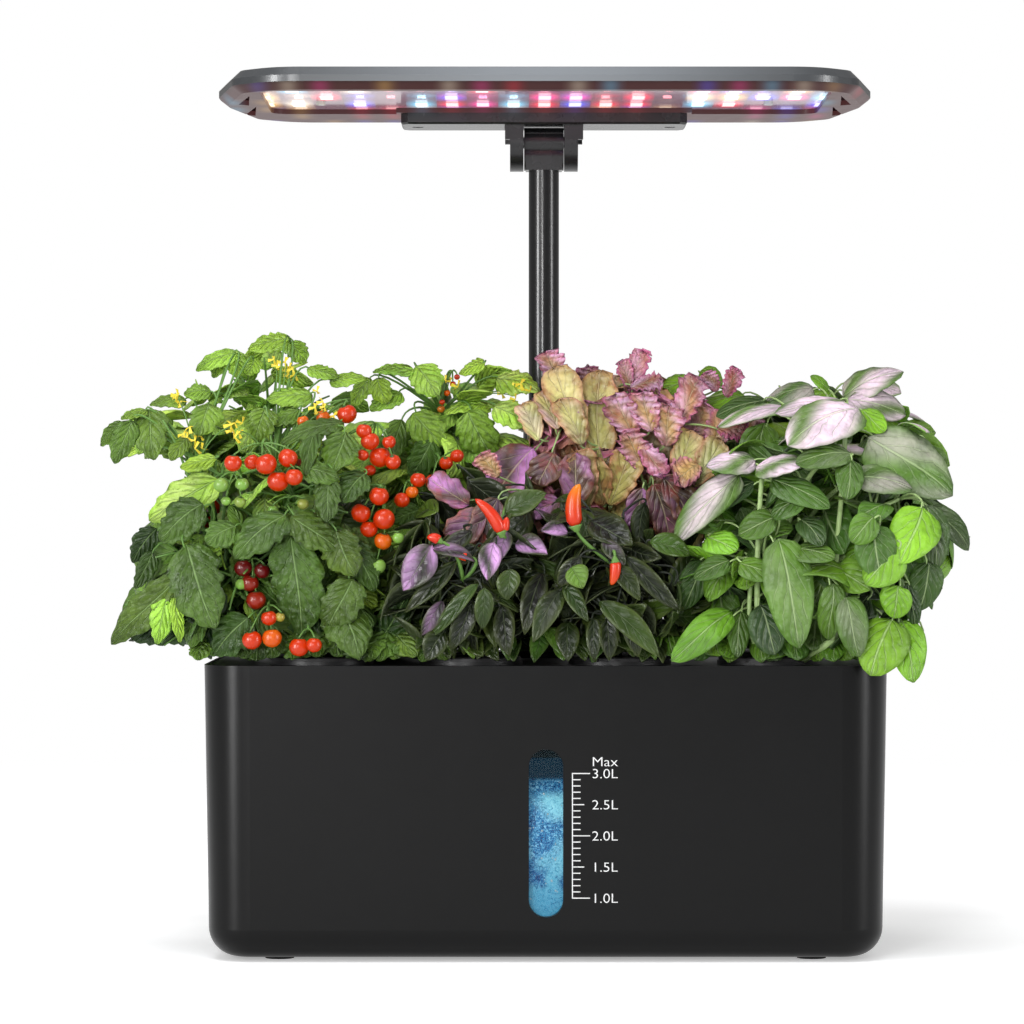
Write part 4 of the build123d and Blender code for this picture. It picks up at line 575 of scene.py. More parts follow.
def floor_finish(name, shade, near, far):
    """Plain pale floor: it keeps the shadows near the object and fades to white farther off."""
    finish = Finish(name, Roughness=1.0, Specular_IOR_Level=0.0)
    path = [finish.add("ShaderNodeLightPath", output=ray) for ray in
            ("Is Camera Ray", "Is Glossy Ray", "Is Transmission Ray")]
    shown = path[0].maths("MAXIMUM", path[1]).maths("MAXIMUM", path[2])
    cloud = finish.noise(1.2, 2)
    finish.set(Base_Color=finish.blend(shade, [c * 0.985 for c in shade], cloud),
               Emission_Color=finish.blend((0, 0, 0), (FLOOR_LIFT,) * 3, shown), Emission_Strength=1.0)
    where = finish.place()
    reach = (finish.axis(where, "X") ** 2 + finish.axis(where, "Y") ** 2).maths("SQRT")
    white = finish.add("ShaderNodeEmission", {}, {"Color": (1, 1, 1), "Strength": 1.0})
    fade = reach.between(near, far) * shown
    mixed = finish.add("ShaderNodeMixShader", {},
                       {0: fade, 1: Signal(finish, finish.shader.outputs[0]), 2: white})
    finish.tree.links.new(mixed.socket, finish.tree.nodes["Material Output"].inputs["Surface"])
    return finish.material


# ---------------------------------------------------------------- helpers for modelled pieces
def deselect():
    if bpy.context.object and bpy.context.object.mode != "OBJECT":
        bpy.ops.object.mode_set(mode="OBJECT")
    bpy.ops.object.select_all(action="DESELECT")


def only(*objects):
    """Select these objects alone, the first one active."""
    deselect()
    for thing in objects:
        thing.select_set(True)
    bpy.context.view_layer.objects.active = objects[0]


def settle(thing, name, material):
    """Put a piece's place into its mesh, give it its name and finish."""
    only(thing)
    if thing.type != "MESH":
        bpy.ops.object.convert(target="MESH")
        thing = bpy.context.object
    bpy.ops.object.transform_apply(location=True, rotation=True, scale=True)
    thing.name = name
    thing.data.name = name
    thing.data.materials.clear()
    thing.data.materials.append(material)
    return thing


def joined(things, name, material):
    only(*things)
    if len(things) > 1:
        bpy.ops.object.join()
    return settle(bpy.context.object, name, material)


def smooth(thing, degrees=None):
    only(thing)
    if degrees is None:
        bpy.ops.object.shade_smooth()
    else:
        bpy.ops.object.shade_smooth_by_angle(angle=math.radians(degrees))


def ride(thing, body, slot, *nodes):
    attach(thing, body)
    if nodes:
        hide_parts(*nodes)
    return thing


# ---------------------------------------------------------------- meshes grown in code: leaves and stalks
class Growth:
    """Gathers closed leaves and stalks into one mesh, in mm, each point with its tint and map."""

    def __init__(self):
        self.points, self.faces, self.tints, self.maps = [], [], [], []
        self.count = 0

    def put(self, points, faces, tints, maps):
        self.points.append(points)
        self.faces += [[corner + self.count for corner in face] for face in faces]
        self.tints.append(tints)
        self.maps.append(maps)
        self.count += len(points)

    def piece(self, name, material, slot, *nodes):
        mesh = bpy.data.meshes.new(name)
        mesh.from_pydata((np.concatenate(self.points) * MM).tolist(), [], self.faces)
        tints = np.concatenate(self.tints)
        layer = mesh.attributes.new("leaf_tint", "FLOAT_COLOR", "POINT")
        layer.data.foreach_set("color", np.c_[tints, np.ones(len(tints))].astype(np.float32).ravel())
        layer = mesh.attributes.new("leaf_map", "FLOAT_VECTOR", "POINT")
        maps = np.concatenate(self.maps)
        layer.data.foreach_set("vector", np.c_[maps, np.zeros(len(maps))].astype(np.float32).ravel())
        mesh.polygons.foreach_set("use_smooth", [True] * len(mesh.polygons))
        mesh.materials.append(material)
        mesh.update()
        thing = bpy.data.objects.new(name, mesh)
        bpy.context.scene.collection.objects.link(thing)
        return ride(thing, "deck", slot, *nodes)


def sheet_faces(rows, columns):
    """Faces of a closed sheet: its top, its bottom and its rim. The bottom's points follow the top's."""
    def top(i, j):
        return i * (columns + 1) + j
    under = (rows + 1) * (columns + 1)
    faces = []
    for i in range(rows):
        for j in range(columns):
            quad = [top(i, j), top(i, j + 1), top(i + 1, j + 1), top(i + 1, j)]
            faces.append(quad)
            faces.append([under + corner for corner in reversed(quad)])
        right, right_next = top(i, columns), top(i + 1, columns)
        faces.append([right, under + right, under + right_next, right_next])
        left, left_next = top(i, 0), top(i + 1, 0)
        faces.append([left, left_next, under + left_next, under + left])
    for j in range(columns):
        low, low_next = top(0, j), top(0, j + 1)
        faces.append([low, under + low, under + low_next, low_next])
        high, high_next = top(rows, j), top(rows, j + 1)
        faces.append([high, high_next, under + high_next, under + high])
    return faces


TURN = 6.28                # radians of a full turn, as the leaves' waves and the stalks' turns count it
LOPSIDED = 0.16            # how much wider one half of a leaf may be
LEAF_END = 0.25            # half width of a leaf's ends, in mm


class Leaf:
    """The outline, relief and colours that the leaves of one plant share.

    The leaf is broadest at `widest` of its length, and `point` sharpens its ends. Teeth cut its edge; cup,
    crinkle and frill lift it; ribs and waves count its folds. `curve` takes its tone from dark to light.
    `lit` is the colour of a painted highlight, light painted onto the parts of the top that face up."""
    teeth, tooth, rounded = 0, 0.0, False
    cup, crinkle, ribs, frill, waves = 0.12, 0.0, 5, 0.0, 5
    edge_share, under, curve = 0.0, 0.75, 1.7

    def __init__(self, rows, columns, **form):
        self.rows, self.columns = rows, columns
        self.faces = sheet_faces(rows, columns)
        for name, value in form.items():
            setattr(self, name, value)

    def half_widths(self, along, width, lean):
        low, high = self.point * self.widest, self.point * (1 - self.widest)
        peak = self.widest ** low * (1 - self.widest) ** high
        half = along ** low * (1 - along) ** high / peak * width / 2 + LEAF_END
        return half * (1 + LOPSIDED * lean)

    def cut_edge(self, along, across, half, shift):
        """How far each point lies aside and how far its tooth carries it ahead."""
        if not self.teeth:
            return across * half, 0.0
        count = along * self.teeth + shift + 0.4 * (across > 0)
        saw = 0.5 + 0.5 * np.sin(count * TURN + 1.2 * np.sin(count * 2.9)) if self.rounded else count % 1
        outward = np.abs(across) ** 3
        return (across * half * (1 + outward * self.tooth * (saw - 0.55) * 1.6),
                half * outward * self.tooth * saw)

    def lift(self, along, across, half, length, width, arch, phase):
        """How far each point stands above the straight line from base to tip."""
        outward = np.abs(across)
        lift = arch * length * 4 * along * (1 - along) + self.cup * half * outward ** 1.6
        quilt = np.sin(math.pi * 2 * self.ribs * (along - 0.22 * outward) + phase)
        lift = lift + self.crinkle * half * quilt * outward * (1.35 - outward) * 2
        if self.frill:
            edge = np.maximum(outward ** 2.2, along ** 5)
            ripple = np.sin(along * self.waves * TURN + phase + across * 2.2)
            finer = 0.45 * np.sin(along * self.waves * 14.5 + across * 9 + phase * 2)
            lift = lift + self.frill * width * edge * (ripple + finer) * along ** 0.4
        return lift

    def tints(self, along, across, shape, skyward, tone, hue, lit, phase):
        """The colours of the top and of the underside, point by point. Where the leaf is lit, the top takes
        a painted highlight in the lit colour.
        """
        outward = np.abs(across)
        own = mix(self.dark, self.light, np.clip(tone, 0, 1) ** self.curve)
        own = own * (1 + hue * np.array((1.0, 0.2, -0.4)))
        rim = np.broadcast_to(np.maximum(outward ** 3, along ** 8) * self.edge_share, shape[:2])
        tint = mix(np.broadcast_to(own, shape), self.edge, rim)
        patchy = np.clip(0.62 + 0.6 * np.sin(along * 5 + phase + across * 2.5), 0, 1)
        patchy = patchy * (1 - 0.6 * outward ** 6)
        # painted highlight: tops that face up take the lit colour, in patches
        painted_highlight = np.clip(skyward * 0.5 + 0.65, 0, 1) * lit
        top = mix(tint, self.lit, np.clip(painted_highlight * patchy * 1.3, 0, 1))
        under = mix(tint * self.under, (0.20, 0.24, 0.16), 0.10)
        return np.clip(np.concatenate((top.reshape(-1, 3), under.reshape(-1, 3))), 0, 1)

    def grow(self, growth, base, tip, facing, width, rng, tone=0.5, lit=0.0, arch=0.08, hue=0.0, twist=0.0):
        """One leaf from its base to its tip. Returns its top points."""
        run = tip - base
        length = max(np.linalg.norm(run), 1.0)
        along_axis = run / length
        normal = unit(facing - along_axis * np.dot(facing, along_axis))
        side = np.cross(along_axis, normal)
        along = np.linspace(0, 1, self.rows + 1)[:, None]
        across = np.linspace(-1, 1, self.columns + 1)[None, :]
        shift = rng.random(4)
        phase = shift[2] * TURN
        half = self.half_widths(along, width, (shift[0] - 0.5) * np.sign(across))
        spread, ahead = self.cut_edge(along, across, half, shift[1])
        lift = self.lift(along, across, half, length, width, arch, phase)
        bend = 0.05 * length * np.sin(along * 2.6 + phase)
        turn = (twist * (along - 0.3))[..., None]
        side, normal = (side * np.cos(turn) + normal * np.sin(turn),
                        normal * np.cos(turn) - side * np.sin(turn))
        rows = base + along_axis * (along * length + ahead)[..., None]
        top = rows + side * (spread + bend)[..., None] + normal * lift[..., None]
        out = np.cross(np.gradient(top, axis=1), np.gradient(top, axis=0))
        out /= np.maximum(np.linalg.norm(out, axis=2, keepdims=True), 1e-9)
        skin = out * (bpy.context.scene.garden_plants.thickness / MM / 2)
        sheets = np.concatenate(((top + skin).reshape(-1, 3), (top - skin).reshape(-1, 3)))
        tints = self.tints(along, across, top.shape, out[..., 2], tone, hue, lit, phase)
        place = np.stack((np.broadcast_to(across / 2 + 0.5, top.shape[:2]),
                          np.broadcast_to(along, top.shape[:2])), axis=2).reshape(-1, 2)
        growth.put(sheets, self.faces, tints, np.concatenate((place, place)))
        return top.reshape(-1, 3)


def arc(start, control, end, steps=6):
    """Points of a quadratic curve."""
    share = np.linspace(0, 1, steps + 1)[:, None]
    return start * (1 - share) ** 2 + control * 2 * share * (1 - share) + end * share ** 2


RING_GUIDE = np.array((0.31, 0.88, 0.36))       # the rings of a stalk start square to this way


def grow_stalk(growth, path, thick, thin, tint, sides=6):
    """A closed round stalk along a path, from thick to thin."""
    count = len(path)
    tangents = np.gradient(path, axis=0)
    tangents /= np.maximum(np.linalg.norm(tangents, axis=1, keepdims=True), 1e-9)
    angles = np.arange(sides) * 2 * math.pi / sides
    rings = []
    for centre, tangent, radius in zip(path, tangents, np.linspace(thick, thin, count)):
        a = unit(np.cross(RING_GUIDE, tangent))
        b = np.cross(tangent, a)
        rings.append(centre + radius * (np.cos(angles)[:, None] * a + np.sin(angles)[:, None] * b))
    faces = []
    for i in range(count - 1):
        for k in range(sides):
            nxt = (k + 1) % sides
            faces.append([i * sides + k, i * sides + nxt, (i + 1) * sides + nxt, (i + 1) * sides + k])
    faces.append(list(range(sides - 1, -1, -1)))
    faces.append([(count - 1) * sides + k for k in range(sides)])
    points = np.concatenate(rings)
    maps = np.tile((0.5, 0.5), (len(points), 1))
    growth.put(points, faces, np.tile(tint, (len(points), 1)), maps)


STALK_GREEN = colour(104, 146, 66)
STALK_PALE = colour(170, 198, 128)
STALK_DARK = colour(62, 88, 44)
STALK_BLACK = colour(34, 40, 30)

# Room kept free of leaves, in mm
MAST_CLEAR = 11.5          # from the mast's axis
HINGE_CLEAR = 22.0         # from the same axis, above HINGE_LOW
HINGE_LOW = 243.0
LAMP_LOW = 264.0           # no leaf is above this
POT_CLEAR = 1.0            # above a pot and the mast's socket
RIM_CLEAR = 0.8            # above the tank's rim
SIDE_CLEAR = 1.5           # beside the tank
LID_SWING = 40.0           # above the fill lid
BUTTON_REACH = 6.0         # above the control box
LID_MARGIN, LID_BACK = 4, 10       # round both, and behind them
LOWEST_LEAF = 106.0        # no leaf is below this
PAST_SIDES, PAST_FRONT = 6, 5      # past the solids' box

KEPT_OPEN = ((LID_LOW, LID_HIGH, LID_SWING), (CONTROL_LOW, CONTROL_HIGH, BUTTON_REACH))

STALK_BEND = 7.0           # how far before its leaf a stalk may start to bend, in mm
AIRY_FROM = 0.84           # height share from which a plant thins out
TOMATO_AIRY, TOMATO_SKIPPED = 0.72, 0.62   # the same for a tomato, and the share of leaves it goes without
SKIRT_LEAVES = 46          # tried low round each pot
FRONT_ROOM = 7.0           # how much deeper the filling leaves stand on a plant's front
DRAWN_SHARE = 0.6          # how much of a shaped leaf's depth comes from its row
LEAF_PROUD = 1.0           # how far it stands in front of that


# The crown's outline as the camera sees it, clockwise from its leftmost leaf
CROWN_LEFT = [(200, 668), (203, 655), (180, 646), (150, 648), (128, 646), (106, 648), (104, 622), (126, 594),
              (130, 560), (134, 528), (158, 514), (164, 492), (184, 478), (186, 458), (150, 462), (104, 460),
              (98, 430), (110, 414), (150, 398), (184, 388)]
CROWN_TOP = [(198, 366), (204, 350), (232, 345), (252, 333), (302, 335), (316, 352), (330, 370), (368, 368),
             (402, 360), (442, 361), (490, 358), (512, 364), (536, 366), (546, 350), (562, 350), (578, 364),
             (604, 366), (618, 372), (638, 346), (660, 356), (668, 378), (690, 368), (722, 366), (742, 380),
             (752, 392), (784, 392), (802, 380), (848, 370), (876, 362), (904, 368), (910, 394)]
CROWN_RIGHT = [(912, 412), (938, 430), (954, 448), (956, 494), (946, 504), (972, 528), (973, 550),
               (946, 580), (938, 608), (912, 622), (924, 642), (924, 668), (914, 686), (862, 684),
               (846, 670)]
CROWN = np.array(CROWN_LEFT + CROWN_TOP + CROWN_RIGHT, dtype=float)


def in_crown(points):
    """True if every point shows inside the crown's outline, by the rule of crossed edges."""
    across, down = on_picture(points)
    crossed = np.zeros(len(points), dtype=int)
    for (x0, y0), (x1, y1) in zip(CROWN, np.roll(CROWN, -1, axis=0)):
        spans = (y0 > down) != (y1 > down)
        crossed += spans & (across < (x1 - x0) * (down - y0) / (y1 - y0 if y1 != y0 else 1) + x0)
    return bool((crossed % 2 == 1).all())


class Cover:
    """How near the camera the shaped leaves, fruit and flowers stand, in square cells of its view."""
    CELL = 4               # side of a cell, in pixels
    MARGIN = 4.0           # a leaf this far behind what is marked still counts as in front of it, in mm
    SHARE = 0.12           # of a leaf that may be in front
    FLOWER_R, CHILI_WIDE = 6, 14
    ALONG, ASIDE = np.linspace(0.03, 0.97, 18), np.linspace(-0.85, 0.85, 9)

    def __init__(self):
        self.cells = {}

    def mark(self, across, down, depth):
        cell = (int(across) // self.CELL, int(down) // self.CELL)
        self.cells[cell] = min(depth, self.cells.get(cell, depth))

    def mark_leaf(self, across, down, tip_across, tip_down, wide, depth, *_):
        run = np.array((tip_across - across, tip_down - down), dtype=float)
        side = np.array((-run[1], run[0])) / max(np.linalg.norm(run), 1.0) * wide / 2
        for along in self.ALONG:
            for aside in self.ASIDE:
                spot = (across, down) + run * along + side * aside * math.sin(math.pi * along ** 0.8)
                self.mark(*spot, depth)

    def mark_disc(self, across, down, radius, depth):
        for turn in np.arange(12) * math.pi / 6:
            for share in (0.0, 0.5, 1.0):
                self.mark(across + math.cos(turn) * radius * share,
                          down + math.sin(turn) * radius * share, depth)

    def mark_tables(self):
        """Mark everything that the tables place."""
        for table in (TOMATO_FRONT_LEAVES, TOMATO_MIDDLE_LEAVES, PEPPER_LEFT_LEAVES, PEPPER_RIGHT_LEAVES,
                      LETTUCE_LEAVES, LETTUCE_FRILLS, LETTUCE_SATIN, BASIL_FRONT_LEAVES, BASIL_REAR_LEAVES):
            for row in table:
                self.mark_leaf(*row)
        for _, _, depth, bunch in TOMATO_TRUSSES:
            for across, down, radius, _ in bunch:
                self.mark_disc(across, down, radius, depth)
        for across, down, depth in TOMATO_FLOWERS:
            self.mark_disc(across, down, self.FLOWER_R, depth)
        for base, bend, tip, _, depth, _ in CHILIS:
            for start, end in ((base, bend), (bend, tip)):
                self.mark_leaf(*start, *end, self.CHILI_WIDE, depth)

    def hides(self, points):
        """True if too much of a leaf would stand in front of what is marked."""
        across, down = (place.astype(int) // self.CELL for place in on_picture(points))
        marked = np.array([self.cells.get(cell, -1e9) for cell in zip(across.tolist(), down.tolist())])
        return float((points[:, 1] < marked + self.MARGIN).mean()) > self.SHARE


cover = Cover()


def has_room(points):
    """True if no point is in the way of the mast, the lamp, the flap or the buttons, or inside the tank."""
    x, y, z = points.T
    from_mast = np.hypot(x, y - MAST_Y)
    blocked = (from_mast < MAST_CLEAR) | ((from_mast < HINGE_CLEAR) & (z > HINGE_LOW)) | (z > LAMP_LOW)
    over_tank = ((x > TANK_LOW[0] - SIDE_CLEAR) & (x < TANK_HIGH[0] + SIDE_CLEAR)
                 & (y > TANK_LOW[1] - SIDE_CLEAR) & (y < TANK_HIGH[1] + SIDE_CLEAR))
    blocked |= over_tank & (z < TANK_HIGH[2] + RIM_CLEAR)
    for middle_x, middle_y, radius in PODS:
        blocked |= (np.hypot(x - middle_x, y - middle_y) < radius) & (z < POT_TOP + POT_CLEAR)
    blocked |= (from_mast < SOCKET_R) & (z < SOCKET_HIGH[2] + POT_CLEAR)
    blocked |= z < LOWEST_LEAF
    for low, high, rise in KEPT_OPEN:
        blocked |= ((x > low[0] - LID_MARGIN) & (x < high[0] + LID_MARGIN) & (y > low[1] - LID_MARGIN)
                    & (y < high[1] + LID_BACK) & (z < high[2] + rise))
    beyond = (np.abs(x) > CAD_HIGH[0] / MM + PAST_SIDES) | (np.abs(y) > CAD_HIGH[1] / MM + PAST_FRONT)
    return not (blocked | beyond).any()


FACES_DOWN, DOWN_SHARE = -0.3, 0.35    # a face that looks down gets fewer places
SPACING = 0.72                         # between places, as a share of an even spread
TRIES = 14                             # for each place


def surface_places(mesh, count, rng):
    """Seeded places spread over a CAD plant's mesh: points in mm, and the way out at each."""
    mesh.calc_loop_triangles()
    points = np.array([v.co for v in mesh.vertices]) / MM
    corners = points[np.array([t.vertices for t in mesh.loop_triangles])]
    crosses = np.cross(corners[:, 1] - corners[:, 0], corners[:, 2] - corners[:, 0])
    areas = np.linalg.norm(crosses, axis=1) / 2
    outs = crosses / np.maximum(areas[:, None] * 2, 1e-9)
    above_pot = corners[:, :, 2].mean(axis=1) > POT_TOP + 1
    weights = areas * np.where(outs[:, 2] < FACES_DOWN, DOWN_SHARE, 1.0) * above_pot
    spacing = SPACING * math.sqrt(weights.sum() / count)
    places, ways = [], []
    for pick in rng.choice(len(areas), size=count * TRIES, p=weights / weights.sum()):
        shares = rng.dirichlet((1, 1, 1))
        place = shares @ corners[pick]
        if all(np.linalg.norm(place - other) > spacing for other in places):
            places.append(place)
            ways.append(outs[pick])
        if len(places) == count:
            break
    return np.array(places), np.array(ways)


class Plant:
    """One plant: its pod, its branches, and the meshes of its leaves and stalks."""
    ROOT_DEPTH = 4         # of the root below the pot's top, in mm
    LOWEST_TWIG = 14       # above the pot's top
    BEND_AT = 0.72         # share of its rise after which a branch bends outward
    TAPER = 0.45           # of a branch's end to its foot
    DEPTH_PLAY = 6         # how far a shaped leaf may stand off the plant's surface

    def __init__(self, node, pot, rng, branches, thick, tint, core=0.42):
        self.node, self.rng, self.tint = node, rng, tint
        self.low, self.high = box_mm(node)
        pot_low, pot_high = box_mm(pot)
        self.root = np.array((*(pot_low[:2] + pot_high[:2]) / 2, POT_TOP - self.ROOT_DEPTH))
        self.leaves, self.stalks = Growth(), Growth()
        self.mesh = frame["nodes"][node].data
        self.surface = BVHTree.FromPolygons([v.co for v in self.mesh.vertices],
                                            [p.vertices for p in self.mesh.polygons])
        middle = (self.low + self.high) / 2
        self.twigs = []
        for place in self.places(branches)[0]:
            end = mix(place, (middle[0], middle[1], place[2] * 0.6 + middle[2] * 0.4), core)
            if end[2] < POT_TOP + self.LOWEST_TWIG:
                continue
            bend = np.array((*self.root[:2], self.root[2] + self.BEND_AT * (end[2] - self.root[2])))
            path = arc(self.root, bend + rng.normal(0, 2, 3), end, 10)
            if has_room(path[2:]):
                grow_stalk(self.stalks, path, thick, thick * self.TAPER, tint)
                self.twigs.append(path[2:])
        self.twigs = np.concatenate(self.twigs) if self.twigs else self.root[None] + UP * 20

    def places(self, count):
        return surface_places(self.mesh, count, self.rng)

    def depth_at(self, across, down, drawn):
        """Depth of a leaf seen there: near the plant's surface, and partly as drawn."""
        eye = Vector((VIEW_X, VIEW_Y, VIEW_Z)) * MM
        hit = self.surface.ray_cast(eye, Vector(seen(across, down, 0) * MM) - eye)[0]
        if hit is None:
            return drawn
        found = hit.y / MM
        near = np.clip(drawn, found - self.DEPTH_PLAY, found + self.DEPTH_PLAY)
        return float(near * DRAWN_SHARE + found * (1 - DRAWN_SHARE)) - LEAF_PROUD

    def nearest(self, point):
        """Where on the branches a stalk to this point starts: near, and rather below it."""
        gap = self.twigs - point
        cost = np.linalg.norm(gap, axis=1) + 0.6 * np.maximum(gap[:, 2], 0)
        return self.twigs[np.argmin(cost)]

    def carry(self, base, way, thick=0.5, tint=None):
        """A stalk from the branches to a leaf's base, which it reaches along the leaf's way."""
        start = self.nearest(base)
        reach = np.linalg.norm(base - start)
        sag = UP * reach * 0.12 + self.rng.normal(0, 0.05 * reach, 3)
        path = arc(start, base - way * min(reach * 0.45, STALK_BEND) + sag, base + way * 1.5, 8)
        grow_stalk(self.stalks, path, thick * 1.2, thick * 0.7, self.tint if tint is None else tint, 5)

    def height_share(self, z):
        return np.clip((z - self.low[2]) / (self.high[2] - self.low[2]), 0, 1)

    def place_leaf(self, leaf, base, tip, facing, width, anywhere=False, **looks):
        """A leaf, if there is room for it, it is in the crown and it hides nothing. True if it was grown."""
        trial = Growth()
        state = self.rng.bit_generator.state
        points = leaf.grow(trial, base, tip, facing, width, self.rng, **looks)
        if not has_room(points):
            return False
        if not anywhere and (not in_crown(points) or cover.hides(points)):
            return False
        self.rng.bit_generator.state = state
        leaf.grow(self.leaves, base, tip, facing, width, self.rng, **looks)
        return True

    def hang(self, leaf, base, tip, facing, width, way, thick=0.5, anywhere=False, **looks):
        """A leaf with its stalk, if there is room for the leaf."""
        grown = self.place_leaf(leaf, base, tip, facing, width, anywhere, **looks)
        if grown:
            self.carry(base, way, thick)
        return grown

    def pieces(self, slot, leaf_material, stalk_material):
        self.leaves.piece(self.node + "_leaves", leaf_material, slot, self.node)
        self.stalks.piece(self.node + "_stems", stalk_material, slot)


def set_in(place, way, amount):
    """A surface place drawn into the plant, more so on the front, where the shaped leaves stand."""
    return place - way * amount + np.array((0, max(0.0, -way[1]) * FRONT_ROOM, 0))


LEAF_LENGTH = 28.0         # of the simple leaves that fill a plant, in mm
FIRST_INSET, INNER_INSET = 4, 17
INNER_SHARE, AIRY_SKIPPED = 0.4, 0.4


def fill_simple(plant, leaf, count, width, tone, lit, droop, face_up, stray):
    """Fill out a plant with simple leaves over its whole surface, and ones inside that are darker as painted
    shade. tone and lit give a leaf's tone, which rises up the plant as painted light, and how much painted
    highlight it gets, from how high up the plant it is."""
    rng = plant.rng
    # inner leaves are set darker: painted shade inside the plant
    for share, inset, shade in ((1.0, FIRST_INSET, 0.0), (INNER_SHARE, INNER_INSET, -0.35)):
        for place, way in zip(*plant.places(max(3, int(count * share)))):
            if way[2] < -0.6:
                way = unit(way * (1, 1, 0.2))
            height = plant.height_share(place[2])
            if height > AIRY_FROM and rng.random() < AIRY_SKIPPED:
                continue
            spot = set_in(place, way, inset)
            aside = rng.normal(0, stray, 3)
            down = UP * (droop * (1.2 - height * 0.9))
            direction = unit(way * (1, 1, 0) * 0.8 + way * 0.3 + aside - down)
            size = rng.uniform(0.6, 1.2) * (0.8 + 0.2 * height)
            facing = unit(way * (1 - face_up) + UP * face_up + rng.normal(0, 0.4, 3))
            base = spot - direction * LEAF_LENGTH * size * 0.55
            tip = spot + direction * LEAF_LENGTH * size * 0.45
            looks = {"tone": tone(height) + shade + rng.normal(0, 0.14), "twist": rng.normal(0, 0.5),
                     "lit": lit(height, rng) if shade == 0 else 0,
                     "arch": rng.uniform(0.2, 1.5) * 0.12, "hue": rng.normal(0, 0.12)}
            plant.hang(leaf, base, tip, facing, width * size * rng.uniform(0.85, 1.15), direction, **looks)


def skirt(plant, leaf, length, width, tone, spread=30.0):
    """Small leaves low round the pot, so that nothing shows through under the plant."""
    rng = plant.rng
    for _ in range(SKIRT_LEAVES):
        turn = rng.uniform(0, 2 * math.pi)
        out = np.array((math.cos(turn), math.sin(turn) * 0.8, 0.0))
        middle = np.array((*plant.root[:2], POT_TOP + 6))
        spot = middle + out * rng.uniform(6, spread) + UP * rng.uniform(0, 26)
        direction = unit(out + rng.normal(0, 0.6, 3) + UP * rng.uniform(-0.2, 0.9))
        size = rng.uniform(0.6, 1.15)
        looks = {"tone": tone + rng.normal(0, 0.12), "hue": rng.normal(0, 0.1),
                 "twist": rng.normal(0, 0.5), "arch": 0.12}
        facing = unit(np.array((0.0, -0.7, 0.4)) + rng.normal(0, 0.5, 3))
        plant.hang(leaf, spot, spot + direction * length * size, facing, width * size, direction, 0.45,
                   **looks)


FRINGE_BACK, FRINGE_FRONT = -60, (-74, -68)        # depths y of the fringe's bases and tips
FRINGE_TOP, FRINGE_FOOT = (626, 644), (655, 663)   # how far down the picture they show


def fringe(plant, leaf, left, right, count, tone, width):
    """Low leaves side by side along the front of the deck, between two places across the picture."""
    rng = plant.rng
    for across in np.linspace(left, right, count):
        across += rng.normal(0, 4)
        base = seen(across, rng.uniform(*FRINGE_TOP), FRINGE_BACK)
        tip = seen(across + rng.normal(0, 9), rng.uniform(*FRINGE_FOOT), rng.uniform(*FRINGE_FRONT))
        facing = np.array((rng.normal(0, 0.35), -1.0, 0.35))
        looks = {"tone": tone * rng.uniform(0.3, 1.3), "hue": rng.normal(0, 0.1),
                 "twist": rng.normal(0, 0.3), "arch": 0.08}
        plant.hang(leaf, base, tip, facing, width * rng.uniform(0.8, 1.2), unit(tip - base), 0.45, True,
                   **looks)


def shaped_leaves(plant, leaf, table, arch=0.10, wider=1.06, glow_curve=1.0):
    """The leaves that give the plant its look from the front. Each row of the table is the base and the
    tip as the camera sees them, the width across the leaf as seen, the depth y in mm, how far its face
    looks up in degrees, its tone and how much painted highlight it gets."""
    for across, down, tip_across, tip_down, wide, depth, up, tone, glow in table:
        scale = (depth - VIEW_Y) / VIEW_FOCAL
        length = math.hypot(tip_across - across, tip_down - down) * scale
        front = plant.depth_at(tip_across, tip_down, depth)
        back = plant.depth_at(across, down, depth)
        middle = plant.depth_at((across + tip_across) / 2, (down + tip_down) / 2, depth)
        front = float(np.clip(front, middle - 0.3 * length, middle + 0.3 * length))
        back = float(np.clip(back, middle - 0.1 * length, middle + 0.4 * length)) + 0.12 * length
        base, tip = seen(across, down, back), seen(tip_across, tip_down, front)
        facing = np.array((0.0, -math.cos(math.radians(up)), math.sin(math.radians(up))))
        way = unit(tip - base)
        normal = unit(facing - way * np.dot(facing, way))
        side = np.cross(way, normal)
        width = wide * wider * scale / max(0.45, math.hypot(side[0], side[2]))
        looks = {"tone": tone, "lit": glow ** glow_curve, "hue": plant.rng.normal(0, 0.06),
                 "arch": arch * plant.rng.uniform(0.6, 1.2), "twist": plant.rng.normal(0, 0.25)}
        if not plant.hang(leaf, base, tip, facing, width, way, anywhere=True, **looks):
            print("no room for a leaf of", plant.node, "at", across, down)


# ---------------------------------------------------------------- tomato
def tomato_leaf(rows, columns, crinkle):
    return Leaf(rows, columns, widest=0.36, point=1.15, dark=colour(18, 50, 16), light=colour(190, 238, 80),
                edge=colour(112, 150, 74), lit=colour(214, 232, 140), teeth=4, tooth=0.12, crinkle=crinkle,
                cup=-0.20, edge_share=0.12, ribs=6, rounded=True)


# tone rises up the plant: painted light from above
def tomato_tone(height):
    return 0.28 + 0.86 * height ** 1.4


RIB_REACH = 38             # how far inside its place a feathered leaf's rib starts, in mm
SHORTEST_RIB, RIB_PER_PAIR = 12, 15
END_LEAFLET, SIDE_LEAFLET, SIDE_STEP = 31.0, 25, 3     # lengths, and how much shorter each further pair is
LEAFLET_DROOP = 0.6


